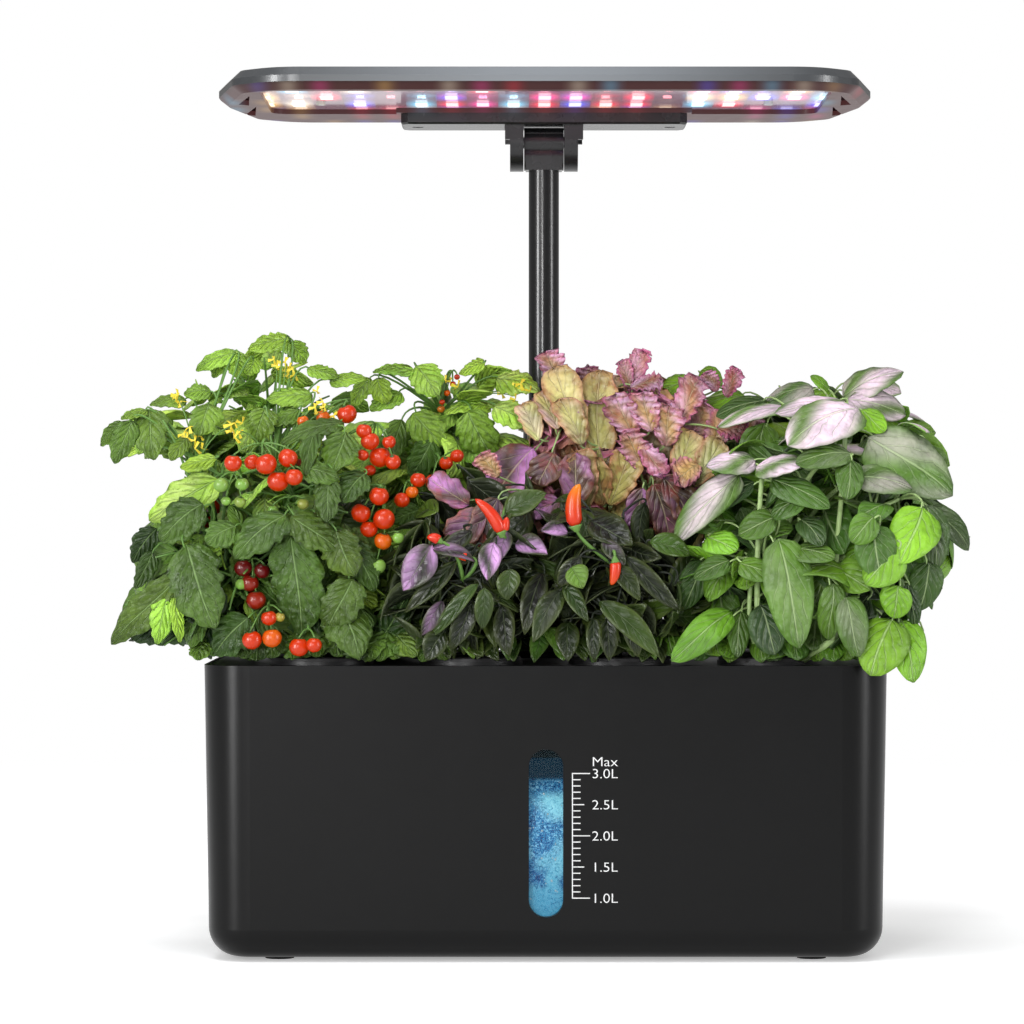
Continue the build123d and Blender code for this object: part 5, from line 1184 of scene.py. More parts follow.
def compound_leaf(plant, leaf, place, way, tone):
    """A feathered tomato leaf: a rib that arches to its place, with pairs of leaflets and one at its end."""
    rng = plant.rng
    start = plant.nearest(place - way * RIB_REACH)
    run = place - start
    length = np.linalg.norm(run)
    if length < SHORTEST_RIB:
        return
    height = plant.height_share(place[2])
    rib = arc(start, start + run * 0.5 + UP * length * 0.22, place, 8)
    if not has_room(rib[1:]) or not in_crown(rib[4:]):
        return
    grow_stalk(plant.stalks, rib, 0.8, 0.4, STALK_GREEN, 5)
    end_way = unit(rib[-1] - rib[-2])
    facing = unit(way * 0.55 + UP * 0.55 + rng.normal(0, 0.3, 3))
    size = rng.uniform(0.7, 1.1) * (1.05 - 0.32 * height)
    pairs = int(np.clip(length / RIB_PER_PAIR, 1, 3))
    leaflets = [(1.0, 0.0, END_LEAFLET * size)]
    for pair in range(pairs):
        share = 1 - (pair + 0.75) / (pairs + 1.1)
        long = (SIDE_LEAFLET - SIDE_STEP * pair) * size
        leaflets += [(share, 1.0, long), (share - 0.03, -1.0, long)]
    for share, lean, long in leaflets:
        spot = rib[int(round(np.clip(share, 0, 1) * 8))]
        aside = unit(np.cross(end_way, facing)) * lean
        droop = UP * LEAFLET_DROOP * rng.uniform(0.2, 1.5)
        direction = unit(end_way * (0.55 if lean else 1.0) + aside * 0.95 - droop + rng.normal(0, 0.18, 3))
        base = spot + direction * 2.5
        own_facing = unit(facing + aside * 0.25 + rng.normal(0, 0.3, 3))
        # lit: a painted highlight on leaflets high on the plant
        looks = {"tone": tone + rng.normal(0, 0.1), "hue": rng.normal(0, 0.12),
                 "arch": rng.uniform(0.05, 0.22), "twist": rng.normal(0, 0.5),
                 "lit": max(0.0, height - 0.55)}
        width = long * rng.uniform(0.55, 0.75)
        plant.place_leaf(leaf, base, base + direction * long, own_facing, width, **looks)


# Leaves placed one by one, in rows as shaped_leaves takes them
TOMATO_FRONT_LEAVES = [
    (291, 341, 248, 349, 18, -30, 40, 0.92, 0), (289, 342, 304, 364, 19, -30, 30, 0.88, 0),
    (235, 351, 197, 372, 16, -34, 35, 0.86, 0), (236, 353, 238, 378, 20, -34, 20, 0.82, 0),
    (254, 358, 249, 376, 17, -34, 20, 0.84, 0), (228, 354, 212, 377, 15, -30, 25, 0.8, 0),
    (308, 368, 338, 378, 13, -40, 40, 0.8, 0), (330, 381, 366, 379, 13, -40, 45, 0.86, 0),
    (146, 410, 157, 459, 33, -50, 20, 0.5, 0), (130, 420, 116, 464, 22, -46, 15, 0.42, 0),
    (124, 424, 101, 446, 15, -46, 25, 0.42, 0), (146, 410, 122, 420, 10, -46, 40, 0.6, 0),
    (186, 400, 150, 406, 13, -40, 50, 0.66, 0), (207, 404, 201, 436, 30, -48, 20, 0.6, 0),
    (186, 438, 172, 461, 16, -50, 20, 0.5, 0), (211, 392, 184, 393, 15, -40, 50, 0.7, 0),
    (264, 408, 258, 442, 29, -58, 20, 0.62, 0), (312, 394, 268, 402, 19, -50, 45, 0.7, 0),
    (299, 409, 268, 425, 16, -54, 40, 0.55, 0), (216, 459, 180, 466, 14, -60, 35, 0.85, 0),
    (216, 477, 150, 522, 36, -60, 30, 0.9, 0.5), (204, 506, 159, 540, 36, -70, 30, 0.3, 0),
    (184, 546, 219, 627, 50, -80, 12, 0.33, 0), (176, 575, 112, 645, 32, -72, 20, 0.35, 0),
    (172, 592, 154, 643, 22, -60, 10, 0.95, 0), (176, 598, 178, 642, 12, -58, 10, 0.92, 0),
    (158, 530, 132, 562, 22, -54, 15, 0.15, 0), (153, 552, 134, 588, 18, -54, 15, 0.2, 0),
    (294, 536, 297, 636, 48, -86, 8, 0.34, 0), (350, 578, 329, 634, 38, -84, 10, 0.32, 0),
    (293, 515, 337, 551, 30, -80, 30, 0.36, 0), (286, 515, 236, 560, 34, -80, 30, 0.34, 0),
    (236, 526, 207, 545, 28, -78, 25, 0.36, 0), (337, 530, 355, 576, 36, -80, 18, 0.34, 0),
    (345, 432, 331, 472, 34, -70, 18, 0.45, 0), (342, 421, 283, 447, 18, -66, 35, 0.35, 0),
    (322, 424, 305, 476, 18, -66, 15, 0.3, 0), (366, 474, 343, 503, 27, -72, 20, 0.3, 0),
    (332, 476, 324, 522, 24, -72, 12, 0.28, 0), (248, 618, 216, 656, 36, -72, 15, 0.24, 0),
    (300, 470, 340, 478, 20, -62, 35, 0.4, 0), (352, 540, 372, 592, 30, -70, 12, 0.22, 0),
]

TOMATO_MIDDLE_LEAVES = [
    (414, 370, 373, 373, 12, -14, 50, 0.9, 0), (371, 379, 352, 406, 16, -16, 20, 0.85, 0),
    (378, 378, 387, 404, 20, -16, 20, 0.88, 0), (415, 367, 438, 396, 30, -14, 25, 0.9, 0.2),
    (485, 363, 459, 373, 13, -10, 45, 0.92, 0), (497, 377, 539, 392, 25, -8, 40, 1.0, 0.5),
    (470, 410, 493, 462, 36, -24, 20, 0.62, 0), (415, 412, 440, 448, 32, -24, 22, 0.62, 0),
    (495, 405, 532, 427, 26, -18, 35, 0.95, 0.4), (490, 406, 445, 415, 15, -16, 50, 0.85, 0),
    (420, 508, 392, 523, 22, -50, 30, 0.3, 0), (402, 420, 384, 462, 24, -30, 15, 0.4, 0),
    (400, 392, 372, 412, 20, -16, 35, 0.8, 0), (430, 440, 412, 478, 28, -34, 15, 0.3, 0),
]

# Fruit in trusses: where the truss hangs from and its depth, then each fruit's place and radius as seen
# and how ripe it is: 0 green, 0.6 orange, 1 red, 1.4 dark red.
TOMATO_TRUSSES = [
    (262, 444, -84, [(233, 463, 9, 1), (252, 462, 8, 1.05), (266, 464, 11, 1), (288, 458, 10, 1),
     (278, 481, 11, 1), (294, 477, 9, 1)]),
    (234, 474, -82, [(221, 485, 7.6, 0), (242, 484, 7, 0), (226, 501, 5, 0), (240, 502, 6, 0.05)]),
    (350, 400, -58, [(347, 414, 10, 1), (303, 421, 6, 0.65), (323, 417, 7, 0.65)]),
    (376, 424, -64, [(364, 431, 8, 1), (370, 441, 9.5, 1), (389, 442, 7, 1), (363, 455, 6, 1),
     (380, 457, 11, 1), (393, 462, 8, 1), (370, 470, 6, 1.1)]),
    (385, 486, -70, [(379, 496, 10, 1), (361, 513, 10, 1), (369, 529, 9, 1), (384, 519, 11, 1),
     (383, 541, 9, 0.65)]),
    (408, 482, -56, [(402, 500, 8, 1), (412, 492, 6.5, 0.65), (418, 480, 8, 1)]),
    (440, 460, -40, [(434, 482, 9, 1), (446, 463, 7, 1), (457, 456, 7, 1)]),
    (252, 560, -72, [(243, 568, 9, 1.4), (262, 571, 8, 1.4), (250, 583, 9, 1.3), (256, 600, 10, 1.25),
     (241, 584, 6, 0)]),
    (268, 606, -80, [(269, 618, 8, 1), (280, 617, 5, 0.2), (252, 640, 10, 1), (272, 638, 10, 0.75)]),
    (308, 630, -82, [(299, 647, 10, 1), (314, 645, 8, 1)]),
    (290, 498, -76, [(273, 510, 5, 0), (303, 504, 6, 0.1)]),
    (386, 535, -70, [(378, 566, 8, 0), (398, 538, 6, 0)]),
    (452, 372, -10, [(457, 377, 3, 1.1), (453, 384, 3, 1), (447, 393, 3.4, 0.7), (442, 402, 3, 1),
     (441, 409, 4, 0.5)]),
    (200, 480, 66, [(196, 500, 10, 1), (214, 506, 9, 1), (205, 520, 10, 1), (188, 517, 8, 0.65)]),
    (300, 430, 62, [(300, 446, 9, 1), (284, 456, 9, 0.6), (296, 466, 10, 1), (312, 462, 8, 0)]),
]

TOMATO_FLOWERS = [(277, 367, -40), (287, 364, -40), (290, 374, -42), (175, 393, -48), (188, 434, -56),
                  (199, 447, -56), (193, 441, -54), (238, 431, -66), (234, 427, -64), (319, 403, -60),
                  (325, 411, -60), (515, 396, -12), (523, 393, -12), (448, 385, -14), (208, 420, 70)]


def fruit_colour(ripe):
    stops = [(0.0, colour(132, 170, 78)), (0.6, colour(224, 100, 4)), (1.0, colour(206, 50, 0)),
             (1.4, colour(104, 12, 12))]
    for (low, first), (high, second) in zip(stops, stops[1:]):
        if ripe <= high:
            return mix(first, second, (ripe - low) / (high - low))
    return np.array(stops[-1][1])


def fruit_template():
    """A small round fruit at the origin, radius 1, with a dimple under its stalk."""
    deselect()
    bpy.ops.mesh.primitive_uv_sphere_add(segments=20, ring_count=12, radius=1)
    fruit = bpy.context.object
    for vertex in fruit.data.vertices:
        x, y, z = vertex.co
        vertex.co.z = z * 0.94 - 0.22 * max(0.0, z) * math.exp(-9 * (x * x + y * y))
    smooth(fruit)
    return fruit


STAR_LOBES = 5


def star_template(reach, droop, waist):
    """A flat star with pointed lobes that bend down: a tomato's green collar, or its flower."""
    deselect()
    bpy.ops.mesh.primitive_circle_add(vertices=STAR_LOBES * 2, radius=reach, fill_type="TRIFAN")
    star = bpy.context.object
    for vertex in star.data.vertices:
        distance = math.hypot(vertex.co.x, vertex.co.y)
        if distance < 1e-6:
            vertex.co.z = 0.12 * reach
            continue
        turn = math.atan2(vertex.co.y, vertex.co.x) / (math.pi / STAR_LOBES)
        if round(turn) % 2:
            vertex.co.x *= waist
            vertex.co.y *= waist
        else:
            vertex.co.z = -droop
    only(star)
    bpy.ops.object.modifier_add(type="SOLIDIFY")
    star.modifiers[0].thickness = 0.06 * reach
    bpy.ops.object.modifier_apply(modifier=star.modifiers[0].name)
    return star


def copied(template, place, scale, turn, tint):
    """A copy of a template with its own mesh, put in place in mm and tinted."""
    copy = bpy.data.objects.new(template.name, template.data.copy())
    bpy.context.scene.collection.objects.link(copy)
    count = len(copy.data.vertices)
    points = np.empty(count * 3)
    copy.data.vertices.foreach_get("co", points)
    points = points.reshape(-1, 3) * scale
    cos_x, sin_x, cos_z, sin_z = math.cos(turn[0]), math.sin(turn[0]), math.cos(turn[1]), math.sin(turn[1])
    tilt = np.array(((1, 0, 0), (0, cos_x, -sin_x), (0, sin_x, cos_x)))
    swing = np.array(((cos_z, -sin_z, 0), (sin_z, cos_z, 0), (0, 0, 1)))
    points = (points @ (swing @ tilt).T + place) * MM
    copy.data.vertices.foreach_set("co", points.ravel())
    layer = copy.data.attributes.new("leaf_tint", "FLOAT_COLOR", "POINT")
    layer.data.foreach_set("color", np.tile((*tint, 1), (count, 1)).astype(np.float32).ravel())
    return copy


def discard(*things):
    for thing in things:
        bpy.data.meshes.remove(thing.data)


class GARDEN_OT_tomatoes(bpy.types.Operator):
    """Grow the three tomato plants with their trusses of fruit and their flowers"""
    bl_idname = "garden.tomatoes"
    bl_label = "Tomatoes"

    def execute(self, context):
        settings = context.scene.garden_plants
        rng = np.random.default_rng(settings.seed)
        leaf, large = tomato_leaf(12, 4, 0.0), tomato_leaf(24, 12, 0.10)
        green = leaf_finish("tomato_leaf", 5, colour(156, 192, 116), 2.2 * MM, 0.38, mottle=0.65, sheen=0.34)
        stem = stalk_finish("tomato_stem")
        plants = {}
        for node, pot, share, table in (
                ("tomato_front_left", "net_pot_1", 1.0, TOMATO_FRONT_LEAVES),
                ("tomato_rear_left", "net_pot_5", 1.15, []),
                ("tomato_rear_middle", "net_pot_6", 0.6, TOMATO_MIDDLE_LEAVES)):
            plant = plants[node] = Plant(node, pot, rng, 12, 1.1, STALK_GREEN, 0.66)
            count = int(settings.tomato_leaves * share)
            # the inner leaves are 0.3 darker: painted shade inside the plant
            for inset, amount, shade in ((FIRST_INSET, count, 0.0), (INNER_INSET, count // 2, -0.3)):
                for place, way in zip(*plant.places(amount)):
                    height = plant.height_share(place[2])
                    if height > TOMATO_AIRY and rng.random() < TOMATO_SKIPPED:
                        continue
                    compound_leaf(plant, leaf, set_in(place, way, inset), way, tomato_tone(height) + shade)
            shaped_leaves(plant, large, table)
            skirt(plant, leaf, 26, 15, 0.2, 38.0)
            if node == "tomato_front_left":
                fringe(plant, large, 206, 436, 26, 0.42, 13)
        self.fruit(plants, rng)
        for plant in plants.values():
            plant.pieces("tomato_leaf", green, stem)
        return {"FINISHED"}

    def fruit(self, plants, rng):
        """Trusses of fruit with their collars, and the flowers."""
        fruit, collar = fruit_template(), star_template(1.0, 0.35, 0.32)
        flower = star_template(4.6, 2.6, 0.16)
        fruits, collars, flowers = [], [], []
        for across, down, depth, bunch in TOMATO_TRUSSES:
            hook = seen(across, down, depth + 5)
            rear = depth > 40
            plant = plants["tomato_rear_left" if rear else
                           "tomato_rear_middle" if across > 395 and depth > -60 else "tomato_front_left"]
            start = plant.nearest(hook + (0, 0 if rear else 30, -6))
            trunk = arc(start, (start + hook) / 2 + UP * 12, hook, 8)
            grow_stalk(plant.stalks, trunk, 0.8, 0.6, STALK_GREEN)
            for fruit_across, fruit_down, radius, ripe in bunch:
                radius_mm = radius * (depth - VIEW_Y) / VIEW_FOCAL
                place = seen(fruit_across, fruit_down, depth + rng.uniform(-2.5, 2.5))
                turn = (rng.uniform(-0.5, 0.5), rng.uniform(0, TURN))
                aside = math.sin(turn[0])
                lean = np.array((aside * math.sin(turn[1]), -aside * math.cos(turn[1]), math.cos(turn[0])))
                crown = place + lean * radius_mm * 0.80
                fruits.append(copied(fruit, place, radius_mm, turn, fruit_colour(ripe)))
                collars.append(copied(collar, crown + lean * 0.2, radius_mm * 0.78, turn, STALK_DARK))
                joint = hook + (crown - hook) * (0.35, 0.35, 0.15)
                path = arc(hook, joint + UP * 2, crown + lean * 0.4, 5)
                grow_stalk(plant.stalks, path, 0.45, 0.35, STALK_GREEN, 5)
        for across, down, depth in TOMATO_FLOWERS:
            place = seen(across, down, depth)
            plant = plants["tomato_rear_middle" if across > 420 else
                           "tomato_rear_left" if depth > 40 else "tomato_front_left"]
            start = plant.nearest(place)
            path = arc(start, (start + place) / 2 + UP * 8, place, 8)
            grow_stalk(plant.stalks, path, 0.4, 0.25, STALK_GREEN, 5)
            for _ in range(3):
                turn = (rng.uniform(0.5, 2.4), rng.uniform(-0.9, 0.9))
                flowers.append(copied(flower, place + rng.normal(0, 2.0, 3), rng.uniform(0.4, 0.62), turn,
                                      (0.9, 0.7, 0.05)))
        discard(fruit, collar, flower)
        smooth(ride(joined(fruits, "tomato_fruit", fruit_finish("tomato_skin")), "deck", "tomato_leaf"))
        ride(joined(collars, "tomato_collars", stalk_finish("tomato_collar")), "deck", "tomato_leaf")
        ride(joined(flowers, "tomato_flowers", petal_finish("tomato_petal")), "deck", "tomato_leaf")


# ---------------------------------------------------------------- ornamental pepper
def pepper_leaf(rows, columns):
    return Leaf(rows, columns, widest=0.42, point=1.6, dark=colour(9, 15, 7), light=colour(104, 146, 52),
                edge=colour(100, 112, 56), lit=colour(216, 160, 226), cup=0.26, edge_share=0.40, curve=2.0)


# Rows as shaped_leaves takes them
PEPPER_LEFT_LEAVES = [
    (432, 545, 402, 590, 31, -84, 30, 0.3, 0.95), (434, 546, 474, 563, 13, -82, 40, 0.2, 0.6),
    (496, 543, 486, 580, 21, -88, 25, 0.3, 1.0), (507, 532, 498, 565, 17, -86, 25, 0.25, 0.75),
    (515, 545, 548, 554, 20, -88, 40, 0.25, 0.9), (506, 515, 545, 491, 22, -70, 30, 0.45, 0),
    (509, 569, 509, 600, 21, -88, 10, 0.42, 0), (482, 588, 485, 629, 17, -88, 8, 0.45, 0),
    (480, 586, 429, 634, 13, -86, 20, 0.5, 0), (441, 600, 423, 636, 15, -80, 15, 0.1, 0.55),
    (545, 574, 523, 634, 22, -86, 8, 0.08, 0.1), (444, 632, 427, 661, 22, -80, 8, 0.22, 0),
    (470, 600, 452, 650, 20, -78, 8, 0.12, 0), (500, 606, 512, 655, 20, -82, 8, 0.1, 0),
    (455, 560, 405, 612, 16, -76, 25, 0.25, 0.15), (470, 530, 440, 560, 16, -76, 30, 0.12, 0.2),
]
PEPPER_RIGHT_LEAVES = [
    (568, 534, 541, 531, 14, -84, 40, 0.25, 0.85), (560, 590, 535, 643, 22, -88, 10, 0.3, 0.15),
    (570, 568, 584, 588, 22, -88, 20, 0.85, 0), (562, 586, 590, 620, 15, -88, 20, 0.4, 0),
    (599, 602, 658, 658, 22, -86, 20, 0.45, 0), (626, 556, 680, 610, 17, -80, 25, 0.18, 0.1),
    (592, 520, 632, 545, 30, -70, 35, 0.02, 0), (570, 622, 567, 661, 22, -84, 6, 0.25, 0),
    (592, 618, 596, 661, 14, -84, 6, 0.2, 0), (606, 618, 611, 660, 18, -82, 6, 0.15, 0),
    (628, 608, 640, 656, 20, -80, 8, 0.12, 0), (612, 566, 640, 600, 17, -84, 20, 0.3, 0),
    (580, 556, 560, 588, 17, -84, 15, 0.1, 0.1), (604, 540, 624, 566, 15, -82, 30, 0.3, 0.4),
    (650, 540, 690, 556, 20, -62, 35, 0.75, 0),
]

# Chilis: base, bend and tip as the camera sees them, radius at the base in mm, depth, how yellow the tip is
CHILIS = [
    ((502, 534), (494, 512), (475, 499), 2.9, -88, 0.0),
    ((504, 531), (506, 524), (507, 517), 1.9, -88, 0.0),
    ((576, 528), (569, 500), (580, 484), 3.7, -88, 0.9),
    ((615, 560), (617, 574), (611, 585), 2.5, -88, 0.2),
    ((440, 541), (434, 536), (427, 538), 2.2, -84, 0.0),
    ((468, 557), (462, 556), (455, 553), 2.0, -84, 0.3),
    ((508, 507), (506, 520), (509, 534), 2.2, -60, 0.0),
]


CHILI_SIDES = 12


def grow_chili(growth, path, radius, yellow):
    """A glossy fruit that narrows along its path to a blunt point."""
    shares = np.linspace(0, 1, len(path))
    radii = radius * np.sqrt(np.clip(1 - shares ** 2.2, 0.0, 1)) * (0.78 + 0.6 * shares * (1 - shares))
    radii = radii * np.sqrt(np.clip(shares * 7, 0.05, 1)) + 0.12
    grow_stalk(growth, path, 1.0, 1.0, (1, 1, 1), CHILI_SIDES)
    points = growth.points[-1].reshape(len(path), CHILI_SIDES, 3)
    centres = path[:, None, :]
    growth.points[-1] = (centres + (points - centres) * radii[:, None, None]).reshape(-1, 3)
    tints = mix(colour(214, 46, 10), colour(248, 150, 24), np.clip(shares ** 2.5 * yellow, 0, 1))
    growth.tints[-1] = np.repeat(tints, CHILI_SIDES, axis=0)


class GARDEN_OT_peppers(bpy.types.Operator):
    """Grow the two ornamental peppers with their chilis"""
    bl_idname = "garden.peppers"
    bl_label = "Ornamental peppers"

    def execute(self, context):
        settings = context.scene.garden_plants
        rng = np.random.default_rng(settings.seed + 1)
        leaf, large = pepper_leaf(8, 4), pepper_leaf(14, 6)
        green = leaf_finish("pepper_leaf", 5, colour(120, 134, 96), 0.7 * MM, 0.22, slant=0.30, mottle=0.7,
                            rib_share=0.30, sheen=0.26)
        stem = stalk_finish("pepper_stem")
        chilis = Growth()
        plants = []
        for node, pot, table, ends in (("pepper_left", "net_pot_2", PEPPER_LEFT_LEAVES, (440, 550)),
                                       ("pepper_right", "net_pot_3", PEPPER_RIGHT_LEAVES, (560, 670))):
            plant = Plant(node, pot, rng, 9, 1.1, STALK_BLACK)
            plants.append(plant)
            fill_simple(plant, leaf, settings.pepper_leaves, 10.5, lambda h: 0.12 + 0.24 * h,
                        lambda h, draw: 0.5 * (h > 0.6) * (draw.random() < 0.05), 0.7, 0.6, 0.75)
            skirt(plant, leaf, 26, 9, 0.3)
            fringe(plant, leaf, *ends, 9, 0.9, 8)
            shaped_leaves(plant, large, table, glow_curve=2.0)
        for base, bend, end, radius, depth, yellow in CHILIS:
            plant = plants[0 if base[0] < 545 else 1]
            root, turn, point = (seen(*spot, depth) for spot in (base, bend, end))
            grow_chili(chilis, arc(root, turn, point, 14), radius, yellow)
            way = unit(turn - root)
            calyx = np.linspace(root - way * 1.6, root + way * 1.1, 4)
            grow_stalk(plant.stalks, calyx, radius * 0.25, radius * 0.8, STALK_GREEN, 10)
            plant.carry(root - way * 1.5, way, 0.8, STALK_GREEN)
        for plant in plants:
            plant.pieces("pepper_leaf", green, stem)
        chilis.piece("chilis", fruit_finish("chili_skin"), "pepper_leaf")
        return {"FINISHED"}


# ---------------------------------------------------------------- red lettuce
def lettuce_leaf():
    return Leaf(24, 12, widest=0.66, point=0.85, dark=colour(122, 120, 52), light=colour(246, 240, 150),
                edge=colour(214, 128, 104), lit=colour(246, 186, 226), teeth=3, tooth=0.13, rounded=True,
                frill=0.09, waves=5, cup=0.25, edge_share=0.7, under=0.9, curve=0.9)


def frilly_leaf():
    return Leaf(24, 16, widest=0.68, point=0.8, dark=colour(126, 52, 52), light=colour(250, 206, 126),
                edge=colour(232, 112, 186), lit=colour(255, 200, 244), teeth=4, tooth=0.17, rounded=True,
                frill=0.24, waves=6, cup=0.2, edge_share=0.75, under=0.8, curve=0.9)


def satin_leaf():
    return Leaf(16, 10, widest=0.55, point=0.8, dark=colour(54, 36, 36), light=colour(150, 118, 84),
                edge=colour(156, 100, 52), lit=colour(222, 146, 224), teeth=2, tooth=0.12, rounded=True,
                frill=0.08, waves=3, cup=0.2, edge_share=0.5, under=0.7)


# Rows as shaped_leaves takes them
LETTUCE_LEAVES = [
    (601, 476, 604, 370, 36, -22, 10, 0.55, 0), (586, 440, 556, 366, 34, -20, 15, 0.9, 0.1),
    (580, 446, 562, 398, 26, -24, 15, 0.6, 0.2), (556, 430, 543, 391, 22, -16, 20, 0.8, 0.6),
    (612, 506, 627, 450, 32, -30, 15, 0.35, 0), (590, 506, 575, 452, 30, -34, 15, 0.3, 0.2),
    (601, 506, 591, 456, 24, -36, 12, 0.3, 0.1), (672, 480, 694, 432, 26, -26, 25, 0.6, 0.1),
    (690, 486, 722, 440, 26, -20, 25, 0.6, 0.1), (540, 440, 520, 405, 22, -14, 30, 0.9, 0.3),
]
LETTUCE_FRILLS = [
    (556, 386, 548, 351, 24, -12, 20, 0.4, 1.0), (584, 396, 587, 366, 22, -14, 20, 0.2, 0.5),
    (628, 392, 641, 350, 20, -10, 20, 0.2, 0.5), (630, 386, 663, 384, 15, -12, 30, 0.2, 0.8),
    (632, 388, 622, 360, 14, -12, 25, 0.2, 0.3), (634, 438, 617, 393, 28, -26, 20, 0.5, 0.9),
    (650, 432, 645, 392, 28, -24, 20, 0.6, 0.9), (674, 424, 701, 378, 26, -16, 25, 0.4, 0.7),
    (664, 446, 672, 404, 30, -28, 20, 0.7, 0.8), (690, 440, 706, 402, 28, -24, 25, 0.6, 0.9),
    (640, 470, 628, 430, 26, -32, 15, 0.5, 0.5), (710, 452, 732, 412, 26, -16, 25, 0.6, 0.7),
    (724, 396, 740, 370, 16, -6, 25, 0.1, 0.4), (716, 392, 706, 372, 14, -6, 25, 0.2, 0.9),
    (742, 440, 762, 404, 24, -12, 25, 0.4, 0.6), (642, 440, 661, 477, 20, -36, 15, 0.1, 0.8),
    (700, 466, 676, 480, 26, -34, 30, 0.9, 0.1), (716, 430, 748, 432, 20, -22, 30, 0.1, 0.1),
    (497, 478, 482, 453, 20, -40, 20, 0.7, 0.2),
]
LETTUCE_SATIN = [
    (536, 450, 491, 496, 42, -48, 30, 0.4, 1.0), (552, 452, 540, 486, 30, -44, 20, 0.3, 0.1),
    (469, 505, 429, 478, 24, -56, 30, 0.4, 0.9), (484, 512, 446, 540, 30, -60, 25, 0.1, 0.2),
    (500, 500, 470, 545, 30, -60, 15, 0.0, 0.1), (572, 505, 577, 453, 32, -46, 15, 0.5, 0.7),
    (643, 488, 630, 530, 24, -50, 20, 0.4, 0.9), (652, 484, 668, 535, 32, -50, 15, 0.3, 0.15),
    (662, 478, 690, 520, 28, -40, 20, 0.3, 0.2), (640, 524, 676, 548, 24, -52, 25, 0.0, 0.0),
    (560, 500, 530, 515, 24, -56, 30, 0.4, 0.7),
]


class GARDEN_OT_lettuce(bpy.types.Operator):
    """Grow the head of red leaf lettuce"""
    bl_idname = "garden.lettuce"
    bl_label = "Red lettuce"

    def execute(self, context):
        settings = context.scene.garden_plants
        rng = np.random.default_rng(settings.seed + 2)
        kinds = [lettuce_leaf(), frilly_leaf(), satin_leaf()]
        plant = Plant("red_lettuce", "net_pot_7", rng, 14, 2.2, STALK_PALE, 0.5)
        for inset, share in ((3, 1.0), (15, 0.6)):
            for place, way in zip(*plant.places(int(settings.lettuce_leaves * share))):
                height = plant.height_share(place[2])
                spot = set_in(place, way, inset)
                heart = np.array((*mix(plant.root[:2], spot[:2], 0.35), spot[2] - rng.uniform(28, 46)))
                heart[2] = max(heart[2], POT_TOP + 6)
                high = height > 0.45
                kind = kinds[rng.choice(3, p=(0.4, 0.4, 0.2)) if high else rng.choice((0, 2))]
                # tone and the painted highlight rise up the head: painted light from above
                looks = {"tone": 0.25 + 0.5 * height + rng.normal(0, 0.15), "arch": -0.12,
                         "lit": 0.8 * rng.random() * height, "hue": rng.normal(0, 0.08)}
                facing = unit(-way + UP * 0.5 + rng.normal(0, 0.2, 3)) * (-1 if way[1] < -0.3 else 1)
                plant.hang(kind, heart, spot, facing, rng.uniform(26, 36), unit(spot - heart), 1.3, **looks)
        for kind, table in zip(kinds, (LETTUCE_LEAVES, LETTUCE_FRILLS, LETTUCE_SATIN)):
            shaped_leaves(plant, kind, table, 0.06)
        red = leaf_finish("lettuce_leaf", 4, colour(236, 220, 176), 1.1 * MM, 0.34, slant=0.5, mottle=0.6,
                          rib_share=0.34, sheen=0.5, blotch=colour(160, 64, 50))
        plant.pieces("lettuce_leaf", red, stalk_finish("lettuce_stem"))
        return {"FINISHED"}


# ---------------------------------------------------------------- basil
def basil_leaf(rows, columns, crinkle):
    return Leaf(rows, columns, widest=0.40, point=1.08, dark=colour(26, 54, 20), light=colour(148, 208, 44),
                edge=colour(120, 160, 84), lit=colour(255, 226, 248), crinkle=crinkle, cup=-0.16,
                edge_share=0.18, ribs=4)


